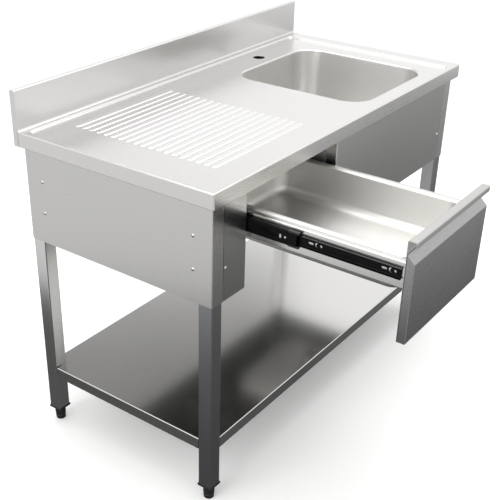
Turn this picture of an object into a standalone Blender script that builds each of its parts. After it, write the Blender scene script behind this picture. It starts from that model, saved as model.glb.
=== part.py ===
"""Stainless sink table: a worktop with a drainer, a bowl and an upstand, on four adjustable legs with an
undershelf, and a pan drawer on ball-bearing slides. Metres, +Z up, the front faces -Y.

The drawer is drawn open. The origin is on the floor, under the middle of the whole object.
"""

import math

import bmesh
import bpy

# Overall size
WIDTH = 1.200
DEPTH = 0.600
WORKTOP_HEIGHT = 0.840
UPSTAND_HEIGHT = 0.100
UPSTAND_THICKNESS = 0.016
GAP = 0.0003  # left between pieces that touch

# Worktop
DECK_SHEET = 0.0015
FASCIA = 0.038
FASCIA_LIP = 0.0035
FIELD_DROP = 0.004
FIELD_SLOPE = 0.003
FIELD_CORNER = 0.012
RIM_LEFT = 0.015
RIM_FRONT = 0.015
RIM_RIGHT = 0.050
RIM_REAR = 0.017
TAP_HOLE_RADIUS = 0.0175
TAP_HOLE_BEHIND_BOWL = 0.049
TAP_HOLE_OFFSET = 0.008  # to the right of the bowl's middle
RIB_COUNT = 19
RIB_PITCH = 0.0231
RIB_WIDTH = 0.012
RIB_HEIGHT = 0.0015
RIB_LENGTH = 0.363
RIB_LEFT_MARGIN = 0.107  # from the field's left edge
RIB_REAR_MARGIN = 0.055  # from the field's rear edge to the first rib's middle

# Bowl
BOWL_WIDTH = 0.380
BOWL_LENGTH = 0.410
BOWL_DEPTH = 0.250
BOWL_CORNER = 0.065
BOWL_FILLET = 0.030
BOWL_DRAFT = 0.005
BOWL_SHEET = 0.0012
BOWL_FLANGE = 0.013
BOWL_FALL = 0.004
BOWL_RIGHT_MARGIN = 0.072  # from the field's right edge
BOWL_FRONT_MARGIN = 0.037  # from the field's front edge

# Waste
WASTE_HOLE_RADIUS = 0.0300
WASTE_FLANGE_RADIUS = 0.0400
WASTE_FLANGE_SHEET = 0.0020
WASTE_BODY_LENGTH = 0.045
WASTE_DISH_DEPTH = 0.014
WASTE_BORE_RADIUS = 0.0210
WASTE_GASKET = 0.003
WASTE_NUT = 0.010
WASTE_NUT_RADIUS = 0.0450
WASTE_TAIL_LENGTH = 0.060
WASTE_TAIL_WALL = 0.0015
WASTE_TAIL_OVERLAP = 0.015
BASKET_DEPTH = 0.030
BASKET_SHEET = 0.0010
BASKET_KNOB_RADIUS = 0.0070
BASKET_KNOB_HEIGHT = 0.022
BASKET_SLOT_COUNT = 8
BASKET_SLOT_WIDTH = 0.003

# Frame and panels
LEG_SIDE = 0.038
LEG_WALL = 0.0015
LEG_CORNER = 0.003
PANEL_SHEET = 0.0012
PANEL_BOTTOM = 0.564  # height of the lower edge of every panel
PANEL_TOP_CLEARANCE = 0.0015
LEFT_INSET = 0.004  # from the worktop's left edge to the panel's face
RIGHT_INSET = 0.038  # the worktop overhangs this side, to cover what stands beside it
FRONT_INSET = 0.006
REAR_INSET = 0.030
PANEL_NOTCH = 0.003
BRACKET_ARM = 0.026
BRACKET_TAB = 0.020
BRACKET_HEIGHT = 0.140
BRACKET_SHEET = 0.0020
BRACKET_BOTTOM = 0.618
SCREW_RADIUS = 0.0024
SCREW_LENGTH = 0.009
SCREW_HEAD_RADIUS = 0.0045
SCREW_HEAD_HEIGHT = 0.0020
SCREW_HEIGHTS = (0.646, 0.728)
SCREW_FROM_LEG = 0.013
STILE_SCREW_MARGIN = 0.009  # from the leg's cover to the screw
APRON_SCREW_MARGIN = 0.012
HOLE_CLEARANCE = 0.0004

# Feet
FOOT_HEIGHT = 0.040  # from the floor to the insert
FOOT_TOP_RADIUS = 0.0155
FOOT_BOTTOM_RADIUS = 0.0135
FOOT_EDGE = 0.0025
STUD_RADIUS = 0.0050
STUD_LENGTH = 0.045
INSERT_FLANGE = 0.004
INSERT_OVERHANG = 0.0025
INSERT_DEPTH = 0.026

# Undershelf
SHELF_TOP = 0.182
SHELF_EDGE = 0.0305
SHELF_INSET = 0.002  # from the legs' outer faces
SHELF_SHEET = 0.0012
SHELF_NOTCH_CLEARANCE = 0.001
CHANNEL_WIDTH = 0.060
CHANNEL_FLANGE = 0.018
CHANNEL_HEIGHT = 0.022
CHANNEL_SHEET = 0.0012
DECK_CHANNEL_FROM_FRONT = 0.085
DECK_CHANNEL_FROM_REAR = 0.150

# Drawer
DRAWER_OPEN = 0.396  # from shut, flush with the panels, to where it is drawn
OPENING_WIDTH = 0.380
STILE_WIDTH = 0.084
APRON_RETURN = 0.028
FRONT_SIDE_GAP = 0.011  # beside the drawer's front, in the opening
FRONT_THICKNESS = 0.020
FRONT_BOTTOM = 0.561
FRONT_HEIGHT = 0.187  # of its flat face
FRONT_CHAMFER = 0.018
FRONT_SHEET = 0.0012
HANDLE_TOP = 0.796
HANDLE_LIP = 0.0135
PAN_WIDTH = 0.297
PAN_LENGTH = 0.497
PAN_DEPTH = 0.098
PAN_CORNER = 0.042
PAN_FILLET = 0.022
PAN_DRAFT = 0.003
PAN_SHEET = 0.0010
PAN_RIM_TOP = 0.750
PAN_RIM_LIP = 0.003
PAN_RIM_WIDTH = 0.0145
PAN_CLEARANCE = 0.0010
RAIL_HEIGHT = 0.0615
RAIL_BEYOND_PAN = 0.010
RAIL_SHEET = 0.0012
RAIL_END_CLEARANCE = 0.0005

# Ball-bearing slides
SLIDE_LENGTH = 0.450
SLIDE_MIDDLE_LENGTH = 0.390
SLIDE_THICKNESS = 0.0127
SLIDE_SHEET = 0.0012
SLIDE_OUTER_HEIGHT = 0.0454
SLIDE_MIDDLE_HEIGHT = 0.0360
SLIDE_INNER_HEIGHT = 0.0250
SLIDE_CENTRE = 0.7205
SLIDE_SETBACK = 0.005  # from the drawer's front to the inner member's end
SLIDE_MIDDLE_SETBACK = 0.0455  # from the outer member's end, with the drawer shut
SLIDE_LAYER = 0.0004  # between one layer's web and the next
CAGE_SHEET = 0.0006
CAGE_LENGTH = 0.140
CAGE_CLEARANCE = 0.0005
OUTER_CAGE_SETBACK = 0.142  # from the outer member's end, with the drawer shut
INNER_CAGE_SETBACK = 0.181
SLIDE_HOLE = 0.0030
SLIDE_HOLE_SETBACKS = (0.015, 0.039, 0.182, 0.198)
END_BRACKET_LENGTH = 0.022
END_BRACKET_PROUD = 0.0010

# Derived places
REACH = DRAWER_OPEN - FRONT_INSET  # of the open drawer, in front of the worktop
BACK_Y = (DEPTH + REACH) / 2
FRONT_Y = BACK_Y - DEPTH
UPSTAND_Y = BACK_Y - UPSTAND_THICKNESS
SIDE_X = WIDTH / 2
FASCIA_Z = WORKTOP_HEIGHT - FASCIA
FIELD_Z = WORKTOP_HEIGHT - FIELD_DROP
DECK_UNDER_Z = FIELD_Z - DECK_SHEET
UPSTAND_Z = WORKTOP_HEIGHT + UPSTAND_HEIGHT
FIELD_LEFT = -SIDE_X + RIM_LEFT
FIELD_RIGHT = SIDE_X - RIM_RIGHT
FIELD_FRONT = FRONT_Y + RIM_FRONT
FIELD_REAR = UPSTAND_Y - RIM_REAR
BOWL_X = FIELD_RIGHT - BOWL_RIGHT_MARGIN - BOWL_WIDTH / 2
BOWL_Y = FIELD_FRONT + BOWL_FRONT_MARGIN + BOWL_LENGTH / 2
BOWL_TOP_Z = DECK_UNDER_Z - GAP
BOWL_FLOOR_Z = FIELD_Z - BOWL_DEPTH
WASTE_Z = BOWL_FLOOR_Z - BOWL_FALL

LEG_COVER = PANEL_SHEET + GAP + LEG_SIDE
PANEL_X = {-1: -SIDE_X + LEFT_INSET, 1: SIDE_X - RIGHT_INSET}
LEG_X = {side: x - side * (LEG_COVER - LEG_SIDE / 2) for side, x in PANEL_X.items()}
COVER_X = {side: x - side * (LEG_COVER + GAP) for side, x in PANEL_X.items()}
PANEL_FRONT_Y = FRONT_Y + FRONT_INSET
PANEL_REAR_Y = BACK_Y - REAR_INSET
PANEL_TOP = DECK_UNDER_Z - PANEL_TOP_CLEARANCE
LEG_FRONT_Y = PANEL_FRONT_Y + LEG_COVER - LEG_SIDE / 2
LEG_REAR_Y = PANEL_REAR_Y - LEG_COVER + LEG_SIDE / 2
LEG_BOTTOM = FOOT_HEIGHT + INSERT_FLANGE

STILE_LEFT, APRON_RIGHT = COVER_X[-1], COVER_X[1]
OPENING_LEFT = STILE_LEFT + STILE_WIDTH
OPENING_RIGHT = OPENING_LEFT + OPENING_WIDTH
DRAWER_X = (OPENING_LEFT + OPENING_RIGHT) / 2
CHANNEL_BOTTOM = DECK_UNDER_Z - GAP - CHANNEL_HEIGHT
HANGER_TOP = CHANNEL_BOTTOM - GAP
DRAWER_SHUT_Y = PANEL_FRONT_Y + FRONT_THICKNESS
DRAWER_BACK_Y = DRAWER_SHUT_Y - DRAWER_OPEN  # back face of the drawer's front
RAIL_X = OPENING_WIDTH / 2 - SLIDE_THICKNESS - 2 * GAP  # side rail's outer face, from the drawer's middle
RAIL_TOP = PAN_RIM_TOP - PAN_RIM_LIP - GAP
SLIDE_FRONT_Y = DRAWER_SHUT_Y + SLIDE_SETBACK

FINISHES = {
    "satin stainless": ((0.62, 0.62, 0.60), 0.32, 1.0),
    "black zinc": ((0.03, 0.03, 0.03), 0.40, 0.8),
    "black plastic": ((0.02, 0.02, 0.02), 0.55, 0.0),
    "grey rubber": ((0.10, 0.10, 0.10), 0.80, 0.0),
}


def clear_scene():
    for obj in list(bpy.data.objects):
        bpy.data.objects.remove(obj)


def finish_for(name, finish):
    """A material of the object's own."""
    colour, roughness, metallic = FINISHES[finish]
    made = bpy.data.materials.new(f"{name} {finish}")
    made.use_nodes = True
    shader = made.node_tree.nodes["Principled BSDF"]
    shader.inputs["Base Color"].default_value = (*colour, 1)
    shader.inputs["Roughness"].default_value = roughness
    shader.inputs["Metallic"].default_value = metallic
    return made


def add_object(name, bm, finish=None, location=(0, 0, 0)):
    """Makes an object of a bmesh: a piece where it has a finish, and a cutter where it has none."""
    bmesh.ops.recalc_face_normals(bm, faces=bm.faces)
    mesh = bpy.data.meshes.new(name)
    bm.to_mesh(mesh)
    bm.free()
    obj = bpy.data.objects.new(name, mesh)
    obj.location = location
    bpy.context.scene.collection.objects.link(obj)
    if finish:
        mesh.materials.append(finish_for(name, finish))
    else:
        obj.hide_render = True
        obj.display_type = "WIRE"
    return obj


def smooth(obj, angle=35):
    obj.data.shade_smooth()
    obj.data.set_sharp_from_angle(angle=math.radians(angle))
    return obj


def combine(obj, other, operation="DIFFERENCE"):
    """Cuts the other object from this one, or joins it on, with an exact Boolean."""
    modifier = obj.modifiers.new(f"{operation.lower()} {other.name}", "BOOLEAN")
    modifier.operation = operation
    modifier.solver = "EXACT"
    modifier.object = other


# Shapes


def prism(outline, axis, start, end, bm=None):
    """Extrudes a closed outline along X, Y or Z. Its points are in the other two axes' order."""
    bm = bm or bmesh.new()
    at = {"X": 0, "Y": 1, "Z": 2}[axis]
    ends = []
    for place in (start, end):
        points = []
        for point in outline:
            coordinates = list(point)
            coordinates.insert(at, place)
            points.append(bm.verts.new(coordinates))
        ends.append(points)
    near, far = ends
    bm.faces.new(near)
    bm.faces.new(far[::-1])
    for i, vert in enumerate(near):
        following = (i + 1) % len(near)
        bm.faces.new((near[following], vert, far[i], far[following]))
    return bm


def block(low, high):
    outline = [(low[0], low[1]), (high[0], low[1]), (high[0], high[1]), (low[0], high[1])]
    return prism(outline, "Z", low[2], high[2])


def offset_path(path, distance):
    """The path moved to its left by a distance, mitred at every fold."""
    moved = []
    for i, (x, y) in enumerate(path):
        directions = []
        for a, b in ((i - 1, i), (i, i + 1)):
            if a >= 0 and b < len(path):
                dx, dy = path[b][0] - path[a][0], path[b][1] - path[a][1]
                length = math.hypot(dx, dy)
                directions.append((-dy / length, dx / length))
        nx = sum(d[0] for d in directions)
        ny = sum(d[1] for d in directions)
        scale = len(directions) / (nx * nx + ny * ny)
        moved.append((x + nx * scale * distance, y + ny * scale * distance))
    return moved


def folded(path, sheet):
    """The closed outline of a sheet folded along a path, with its thickness on the path's left."""
    return list(path) + offset_path(path, sheet)[::-1]


def rounded_rectangle(width, length, radius, steps=5):
    """An outline about the origin, anticlockwise from the right side."""
    points = []
    for corner in range(4):
        middle_x = (width / 2 - radius) * (1 if corner in (0, 3) else -1)
        middle_y = (length / 2 - radius) * (1 if corner in (0, 1) else -1)
        for step in range(steps + 1):
            angle = math.radians(90 * (corner + step / steps))
            points.append((middle_x + radius * math.cos(angle), middle_y + radius * math.sin(angle)))
    return points


def circle(radius, count, phase=0.5):
    """An outline about the origin. With phase 0.5 it matches a rounded rectangle's points."""
    turns = [2 * math.pi * (i + phase) / count for i in range(count)]
    return [(radius * math.cos(a), radius * math.sin(a)) for a in turns]


def loft(rings, closed=False, bm=None):
    """Joins rings of (outline, height) with the same number of points, and caps the ends or joins them."""
    bm = bm or bmesh.new()
    rows = [[bm.verts.new((x, y, z)) for x, y in outline] for outline, z in rings]
    pairs = list(zip(rows, rows[1:]))
    if closed:
        pairs.append((rows[-1], rows[0]))
    else:
        bm.faces.new(rows[0][::-1])
        bm.faces.new(rows[-1])
    for low, high in pairs:
        for i, vert in enumerate(low):
            following = (i + 1) % len(low)
            bm.faces.new((vert, low[following], high[following], high[i]))
    return bm


def turned(profile, count=24, closed=False, phase=0.5):
    """A round shape from (radius, height) points."""
    return loft([(circle(radius, count, phase), z) for radius, z in profile], closed)


def tub_rings(width, length, depth, corner, fillet, draft, grow, steps=5, bends=3):
    """Rings down a tub's wall and round its bottom edge, with the top at height 0. grow moves them outwards."""
    top = rounded_rectangle(width + 2 * grow, length + 2 * grow, corner + grow, steps)
    rings = [(top, -grow)]
    for bend in range(bends + 1):
        angle = math.radians(90 * bend / bends)
        inwards = draft + fillet * (1 - math.cos(angle)) - grow * math.cos(angle)
        height = -depth + fillet * (1 - math.sin(angle)) - grow * math.sin(angle)
        outline = rounded_rectangle(width - 2 * inwards, length - 2 * inwards, corner - inwards, steps)
        rings.append((outline, height))
    return rings


# Worktop


def worktop_section(inset, bottom):
    """The worktop's outline seen from the side, as (y, z), with its upstand at the back."""
    front, back = FRONT_Y + inset, BACK_Y - inset
    upstand, top, rim = UPSTAND_Y + inset, UPSTAND_Z - inset, WORKTOP_HEIGHT - inset
    return [(front, bottom), (back, bottom), (back, top), (upstand, top), (upstand, rim), (front, rim)]


def field_block(name, grow, low, high, slope=0):
    """The sunk field's shape: what is pressed down below the rim."""
    width, length = FIELD_RIGHT - FIELD_LEFT + 2 * grow, FIELD_REAR - FIELD_FRONT + 2 * grow
    corner = FIELD_CORNER + grow
    rings = [
        (rounded_rectangle(width - 2 * slope, length - 2 * slope, corner - slope, 3), low),
        (rounded_rectangle(width, length, corner, 3), high),
    ]
    middle = ((FIELD_LEFT + FIELD_RIGHT) / 2, (FIELD_FRONT + FIELD_REAR) / 2, 0)
    return add_object(name, loft(rings), location=middle)


def drainer_ribs():
    """Raised bars along X, from the rear of the field to its front."""
    left = FIELD_LEFT + RIB_LEFT_MARGIN
    top = FIELD_Z + RIB_HEIGHT
    foot, crown = RIB_WIDTH / 2, RIB_WIDTH / 4
    bm = bmesh.new()
    for i in range(RIB_COUNT):
        y = FIELD_REAR - RIB_REAR_MARGIN - i * RIB_PITCH
        middle_x = left + RIB_LENGTH / 2
        half = RIB_LENGTH / 2
        rings = []
        for reach, side, z in (
            (half, foot, FIELD_Z - DECK_SHEET / 2),
            (half, foot, FIELD_Z),
            (half - foot + crown, crown, top),
        ):
            corners = [(reach, side), (-reach, side), (-reach, -side), (reach, -side)]
            rings.append(([(middle_x + dx, y + dy) for dx, dy in corners], z))
        loft(rings, bm=bm)
    return add_object("rib bars", bm)


def make_worktop():
    """One folded sheet: the sunk deck, its rim, the fascia all round and the boxed upstand."""
    outer = worktop_section(0, FASCIA_Z)
    obj = add_object("worktop", prism(outer, "X", -SIDE_X, SIDE_X), "satin stainless")

    inner = worktop_section(DECK_SHEET, FASCIA_Z + DECK_SHEET)
    inner_x = SIDE_X - DECK_SHEET
    cavity = add_object("worktop cavity", prism(inner, "X", -inner_x, inner_x))
    combine(cavity, field_block("deck block", DECK_SHEET, DECK_UNDER_Z, WORKTOP_HEIGHT))
    combine(obj, cavity)

    lip = FASCIA_LIP
    low = (-SIDE_X + lip, FRONT_Y + lip, FASCIA_Z - DECK_SHEET)
    high = (SIDE_X - lip, BACK_Y - lip, FASCIA_Z + 2 * DECK_SHEET)
    combine(obj, add_object("worktop mouth", block(low, high)))

    top = WORKTOP_HEIGHT + FIELD_DROP
    combine(obj, field_block("field recess", FIELD_SLOPE, FIELD_Z, top, FIELD_SLOPE))

    outline = rounded_rectangle(BOWL_WIDTH, BOWL_LENGTH, BOWL_CORNER)
    opening = loft([(outline, DECK_UNDER_Z - DECK_SHEET), (outline, top)])
    combine(obj, add_object("bowl opening", opening, location=(BOWL_X, BOWL_Y, 0)))

    hole = turned([(TAP_HOLE_RADIUS, DECK_UNDER_Z - DECK_SHEET), (TAP_HOLE_RADIUS, top)])
    tap_y = BOWL_Y + BOWL_LENGTH / 2 + TAP_HOLE_BEHIND_BOWL
    combine(obj, add_object("tap hole", hole, location=(BOWL_X + TAP_HOLE_OFFSET, tap_y, 0)))
    combine(obj, drainer_ribs(), "UNION")


# Bowl and waste


def make_bowl():
    """A pressed bowl with a flange under the deck and a floor that falls to the waste."""
    sizes = (BOWL_WIDTH, BOWL_LENGTH, BOWL_TOP_Z - BOWL_FLOOR_Z, BOWL_CORNER, BOWL_FILLET, BOWL_DRAFT)
    inside = tub_rings(*sizes, 0)
    outside = tub_rings(*sizes, BOWL_SHEET)
    count = len(inside[0][0])
    hole = circle(WASTE_HOLE_RADIUS, count)
    drain = WASTE_Z - BOWL_TOP_Z
    flange = rounded_rectangle(
        BOWL_WIDTH + 2 * BOWL_FLANGE, BOWL_LENGTH + 2 * BOWL_FLANGE, BOWL_CORNER + BOWL_FLANGE
    )
    rings = [(hole, drain), *inside[::-1], (flange, 0), (flange, -BOWL_SHEET), *outside]
    rings.append((hole, drain - BOWL_SHEET))
    bm = loft(rings, closed=True)
    smooth(add_object("bowl", bm, "satin stainless", (BOWL_X, BOWL_Y, BOWL_TOP_Z)))


def make_waste():
    """The flanged body through the bowl's floor, its gasket, nut, tail and lift-out basket."""
    place = (BOWL_X, BOWL_Y, WASTE_Z)
    body = WASTE_HOLE_RADIUS - HOLE_CLEARANCE
    under = -BOWL_SHEET
    flange = [
        (WASTE_FLANGE_RADIUS, BOWL_FALL),
        (WASTE_FLANGE_RADIUS, BOWL_FALL + WASTE_FLANGE_SHEET),
        (body, BOWL_FALL + WASTE_FLANGE_SHEET),
        (WASTE_BORE_RADIUS, -WASTE_DISH_DEPTH),
        (WASTE_BORE_RADIUS, -WASTE_BODY_LENGTH),
        (body, -WASTE_BODY_LENGTH),
        (body, BOWL_FALL),
    ]
    smooth(add_object("waste_flange", turned(flange, closed=True), "satin stainless", place))

    gasket_top = under - GAP
    gasket_low = gasket_top - WASTE_GASKET
    ring = WASTE_HOLE_RADIUS
    gasket = [
        (ring, gasket_top),
        (ring, gasket_low),
        (WASTE_FLANGE_RADIUS, gasket_low),
        (WASTE_FLANGE_RADIUS, gasket_top),
    ]
    smooth(add_object("waste_gasket", turned(gasket, closed=True), "grey rubber", place))

    nut_top = gasket_low - GAP
    nut_low = nut_top - WASTE_NUT
    hexagon = []
    for x, y in circle(1, 24):
        across = max(x * math.cos(a) + y * math.sin(a) for a in (math.pi / 3 * k for k in range(6)))
        hexagon.append((x / across * WASTE_NUT_RADIUS, y / across * WASTE_NUT_RADIUS))
    bore = circle(WASTE_HOLE_RADIUS, 24)
    rings = [(bore, nut_top), (bore, nut_low), (hexagon, nut_low), (hexagon, nut_top)]
    add_object("waste_nut", loft(rings, closed=True), "satin stainless", place)

    outer = WASTE_BORE_RADIUS - HOLE_CLEARANCE
    inner = outer - WASTE_TAIL_WALL
    top = -WASTE_BODY_LENGTH + WASTE_TAIL_OVERLAP
    low = top - WASTE_TAIL_LENGTH
    tail = [(inner, top), (inner, low), (outer, low), (outer, top)]
    smooth(add_object("waste_tail", turned(tail, closed=True), "satin stainless", place))

    make_basket((BOWL_X, BOWL_Y, WASTE_Z + BOWL_FALL + WASTE_FLANGE_SHEET + GAP))


def make_basket(place):
    """A slotted cup with a rim on the waste's flange and a knob to lift it by."""
    rim = WASTE_HOLE_RADIUS + (WASTE_FLANGE_RADIUS - WASTE_HOLE_RADIUS) / 2
    cup = WASTE_BORE_RADIUS - HOLE_CLEARANCE * 3
    neck, sheet = BASKET_KNOB_RADIUS / 2, BASKET_SHEET
    knob_top = BASKET_KNOB_HEIGHT - BASKET_DEPTH
    profile = [
        (cup, -BASKET_DEPTH),
        (cup, 0),
        (rim, 0),
        (rim, sheet),
        (cup - sheet, sheet),
        (cup - sheet, -BASKET_DEPTH + sheet),
        (neck, -BASKET_DEPTH + sheet),
        (neck, knob_top - neck),
        (BASKET_KNOB_RADIUS, knob_top - neck),
        (BASKET_KNOB_RADIUS, knob_top),
    ]
    obj = add_object("strainer_basket", turned(profile), "satin stainless", place)
    slots = bmesh.new()
    inside, outside = neck * 2, cup - sheet * 2
    for i in range(BASKET_SLOT_COUNT):
        angle = 2 * math.pi * (i + 0.5) / BASKET_SLOT_COUNT
        along = (math.cos(angle), math.sin(angle))
        half = BASKET_SLOT_WIDTH / 2
        corners = []
        for reach, side in ((inside, half), (outside, half), (outside, -half), (inside, -half)):
            corners.append((along[0] * reach - along[1] * side, along[1] * reach + along[0] * side))
        prism(corners, "Z", -BASKET_DEPTH - sheet, -BASKET_DEPTH + 2 * sheet, slots)
    combine(obj, add_object("basket slots", slots, location=place))
    smooth(obj)


# Legs, feet and panels


def corners():
    """Each corner's name, its leg's middle and the signs of its x and y."""
    return [
        ("front_left", LEG_X[-1], LEG_FRONT_Y, -1, -1),
        ("front_right", LEG_X[1], LEG_FRONT_Y, 1, -1),
        ("rear_left", LEG_X[-1], LEG_REAR_Y, -1, 1),
        ("rear_right", LEG_X[1], LEG_REAR_Y, 1, 1),
    ]


def make_leg(corner, x, y):
    """A square tube with its plastic insert and its screw foot."""
    outer = rounded_rectangle(LEG_SIDE, LEG_SIDE, LEG_CORNER, 2)
    bore = LEG_SIDE - 2 * LEG_WALL
    inner = rounded_rectangle(bore, bore, LEG_CORNER - LEG_WALL, 2)
    rings = [(inner, LEG_BOTTOM), (inner, PANEL_TOP), (outer, PANEL_TOP), (outer, LEG_BOTTOM)]
    smooth(add_object(f"leg_{corner}", loft(rings, closed=True), "satin stainless", (x, y, 0)))

    flange = LEG_SIDE + 2 * INSERT_OVERHANG
    plate = rounded_rectangle(flange, flange, LEG_CORNER, 2)
    plug_side = bore - 2 * GAP
    plug = rounded_rectangle(plug_side, plug_side, LEG_CORNER - LEG_WALL, 2)
    thread = circle(STUD_RADIUS + HOLE_CLEARANCE, len(plug))
    seat = LEG_BOTTOM - GAP
    top = LEG_BOTTOM + INSERT_DEPTH
    rings = [
        (thread, FOOT_HEIGHT),
        (thread, top),
        (plug, top),
        (plug, seat),
        (plate, seat),
        (plate, FOOT_HEIGHT),
    ]
    add_object(f"leg_insert_{corner}", loft(rings, closed=True), "black plastic", (x, y, 0))

    shoulder = FOOT_HEIGHT - GAP
    profile = [
        (FOOT_BOTTOM_RADIUS - FOOT_EDGE, 0),
        (FOOT_BOTTOM_RADIUS, FOOT_EDGE),
        (FOOT_TOP_RADIUS, shoulder),
        (STUD_RADIUS, shoulder),
        (STUD_RADIUS, shoulder + STUD_LENGTH),
    ]
    foot = add_object(f"foot_{corner}", turned(profile, len(plug)), "black plastic", (x, y, 0))
    smooth(foot)


def screw_hole(obj, axis, place, reach):
    """Drills a clearance hole for one panel screw, from the outer face inwards."""
    outline = circle(SCREW_RADIUS + HOLE_CLEARANCE, 12)
    across = [c for i, c in enumerate(place) if i != "XYZ".index(axis)]
    shifted = [(across[0] + a, across[1] + b) for a, b in outline]
    at = place["XYZ".index(axis)]
    cutter = add_object(f"{obj.name} hole", prism(shifted, axis, at - reach, at + reach))
    combine(obj, cutter)


def make_screw(name, place, axis, sign):
    """A pan-head screw whose head stands proud of a face. sign points out of the face."""
    head = [
        (SCREW_HEAD_RADIUS, GAP),
        (SCREW_HEAD_RADIUS, SCREW_HEAD_HEIGHT / 2),
        (SCREW_HEAD_RADIUS / 2, SCREW_HEAD_HEIGHT),
    ]
    profile = [(SCREW_RADIUS, -SCREW_LENGTH), (SCREW_RADIUS, GAP), *head]
    obj = add_object(name, turned(profile, 12), "satin stainless", place)
    quarter = math.pi / 2 * sign
    obj.rotation_euler = (0, quarter, 0) if axis == "X" else (-quarter, 0, 0)
    smooth(obj)


def screw_places():
    """Where each side panel's screws are, as (x, y, z), with the corner's name."""
    places = []
    for corner, _, y, side, end in corners():
        for row, z in zip(("lower", "upper"), SCREW_HEIGHTS):
            screw_y = y - end * (LEG_SIDE / 2 + SCREW_FROM_LEG)
            places.append((f"{corner}_{row}", side, (PANEL_X[side], screw_y, z)))
    return places


def front_screw_places():
    """The screw in the stile and the one in the apron, low down by the legs, with their corners."""
    z = SCREW_HEIGHTS[0]
    return {
        "stile": ("front_left", (STILE_LEFT + STILE_SCREW_MARGIN, PANEL_FRONT_Y, z)),
        "apron": ("front_right", (APRON_RIGHT - APRON_SCREW_MARGIN, PANEL_FRONT_Y, z)),
    }


def make_side_panel(name, side):
    """A panel that wraps round both of its legs, with a small notch at the front fold's foot."""
    x = PANEL_X[side]
    inner = x - side * LEG_COVER
    path = [(inner, PANEL_FRONT_Y), (x, PANEL_FRONT_Y), (x, PANEL_REAR_Y), (inner, PANEL_REAR_Y)]
    outline = folded(path, side * PANEL_SHEET)
    obj = add_object(name, prism(outline, "Z", PANEL_BOTTOM, PANEL_TOP), "satin stainless")
    notch_x = sorted((x + side * PANEL_NOTCH, x - side * PANEL_NOTCH))
    notch_y, notch_z = PANEL_FRONT_Y + PANEL_NOTCH, PANEL_BOTTOM + PANEL_NOTCH
    low = (notch_x[0], notch_y - 2 * PANEL_NOTCH, notch_z - 2 * PANEL_NOTCH)
    combine(obj, add_object(f"{name} notch", block(low, (notch_x[1], notch_y, notch_z))))
    for _, screw_side, place in screw_places():
        if screw_side == side:
            screw_hole(obj, "X", place, 3 * PANEL_SHEET)


def make_corner_bracket(corner, side, end):
    """A sheet folded round the leg. The side panel is screwed to its arm, the stile or apron to its tab."""
    panel_y = PANEL_FRONT_Y if end < 0 else PANEL_REAR_Y
    near, far = PANEL_SHEET + GAP, LEG_COVER + GAP
    folds = [(near, far + BRACKET_ARM), (near, far), (far, far), (far, near), (far + BRACKET_TAB, near)]
    path = [(PANEL_X[side] - side * across, panel_y - end * along) for across, along in folds]
    outline = folded(path, side * end * BRACKET_SHEET)
    bm = prism(outline, "Z", BRACKET_BOTTOM, BRACKET_BOTTOM + BRACKET_HEIGHT)
    obj = add_object(f"corner_bracket_{corner}", bm, "satin stainless")
    reach = 3 * (PANEL_SHEET + BRACKET_SHEET)
    for name, _, place in screw_places():
        if name.startswith(corner):
            screw_hole(obj, "X", place, reach)
    for screw_corner, place in front_screw_places().values():
        if screw_corner == corner:
            screw_hole(obj, "Y", place, reach)


def make_front_apron():
    """The panel in front of the bowl, folded back at the drawer's opening and along its foot."""
    left, right = OPENING_RIGHT, APRON_RIGHT
    back = PANEL_FRONT_Y + APRON_RETURN
    path = [(left, back), (left, PANEL_FRONT_Y), (right, PANEL_FRONT_Y)]
    outline = folded(path, PANEL_SHEET)
    obj = add_object("front_apron", prism(outline, "Z", PANEL_BOTTOM, PANEL_TOP), "satin stainless")
    low = (left, PANEL_FRONT_Y + PANEL_SHEET / 2, PANEL_BOTTOM)
    high = (right, PANEL_FRONT_Y + APRON_RETURN / 2, PANEL_BOTTOM + PANEL_SHEET)
    combine(obj, add_object("apron hem", block(low, high)), "UNION")
    screw_hole(obj, "Y", front_screw_places()["apron"][1], 3 * PANEL_SHEET)


def make_rear_apron():
    """The panel along the back, between the side panels' returns, with a hem at its foot."""
    hem_y = PANEL_REAR_Y - APRON_RETURN / 2
    path = [(PANEL_REAR_Y, PANEL_TOP), (PANEL_REAR_Y, PANEL_BOTTOM), (hem_y, PANEL_BOTTOM)]
    outline = folded(path, -PANEL_SHEET)
    add_object("rear_apron", prism(outline, "X", COVER_X[-1], COVER_X[1]), "satin stainless")


def make_hangers():
    """What the slides are screwed to: the left one is folded from the stile, the right one hangs by a flange."""
    back = SLIDE_FRONT_Y + SLIDE_LENGTH + SLIDE_SETBACK
    path = [(STILE_LEFT, PANEL_FRONT_Y), (OPENING_LEFT, PANEL_FRONT_Y), (OPENING_LEFT, back)]
    bm = prism(folded(path, PANEL_SHEET), "Z", PANEL_BOTTOM, HANGER_TOP)
    obj = add_object("drawer_hanger_left", bm, "satin stainless")
    screw_hole(obj, "Y", front_screw_places()["stile"][1], 3 * PANEL_SHEET)

    start = PANEL_FRONT_Y + APRON_RETURN + GAP
    x = OPENING_RIGHT
    path = [(x, PANEL_BOTTOM), (x, HANGER_TOP), (x + APRON_RETURN, HANGER_TOP)]
    bm = prism(folded(path, -PANEL_SHEET), "Y", start, back)
    add_object("drawer_hanger_right", bm, "satin stainless")


def channel_outline(middle, top):
    """A hat section, open side up, as (y, z)."""
    half, low = CHANNEL_WIDTH / 2 - CHANNEL_FLANGE, top - CHANNEL_HEIGHT + CHANNEL_SHEET
    path = [
        (middle - CHANNEL_WIDTH / 2, top),
        (middle - half, top),
        (middle - half, low),
        (middle + half, low),
        (middle + half, top),
        (middle + CHANNEL_WIDTH / 2, top),
    ]
    return folded(path, -CHANNEL_SHEET)


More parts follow.
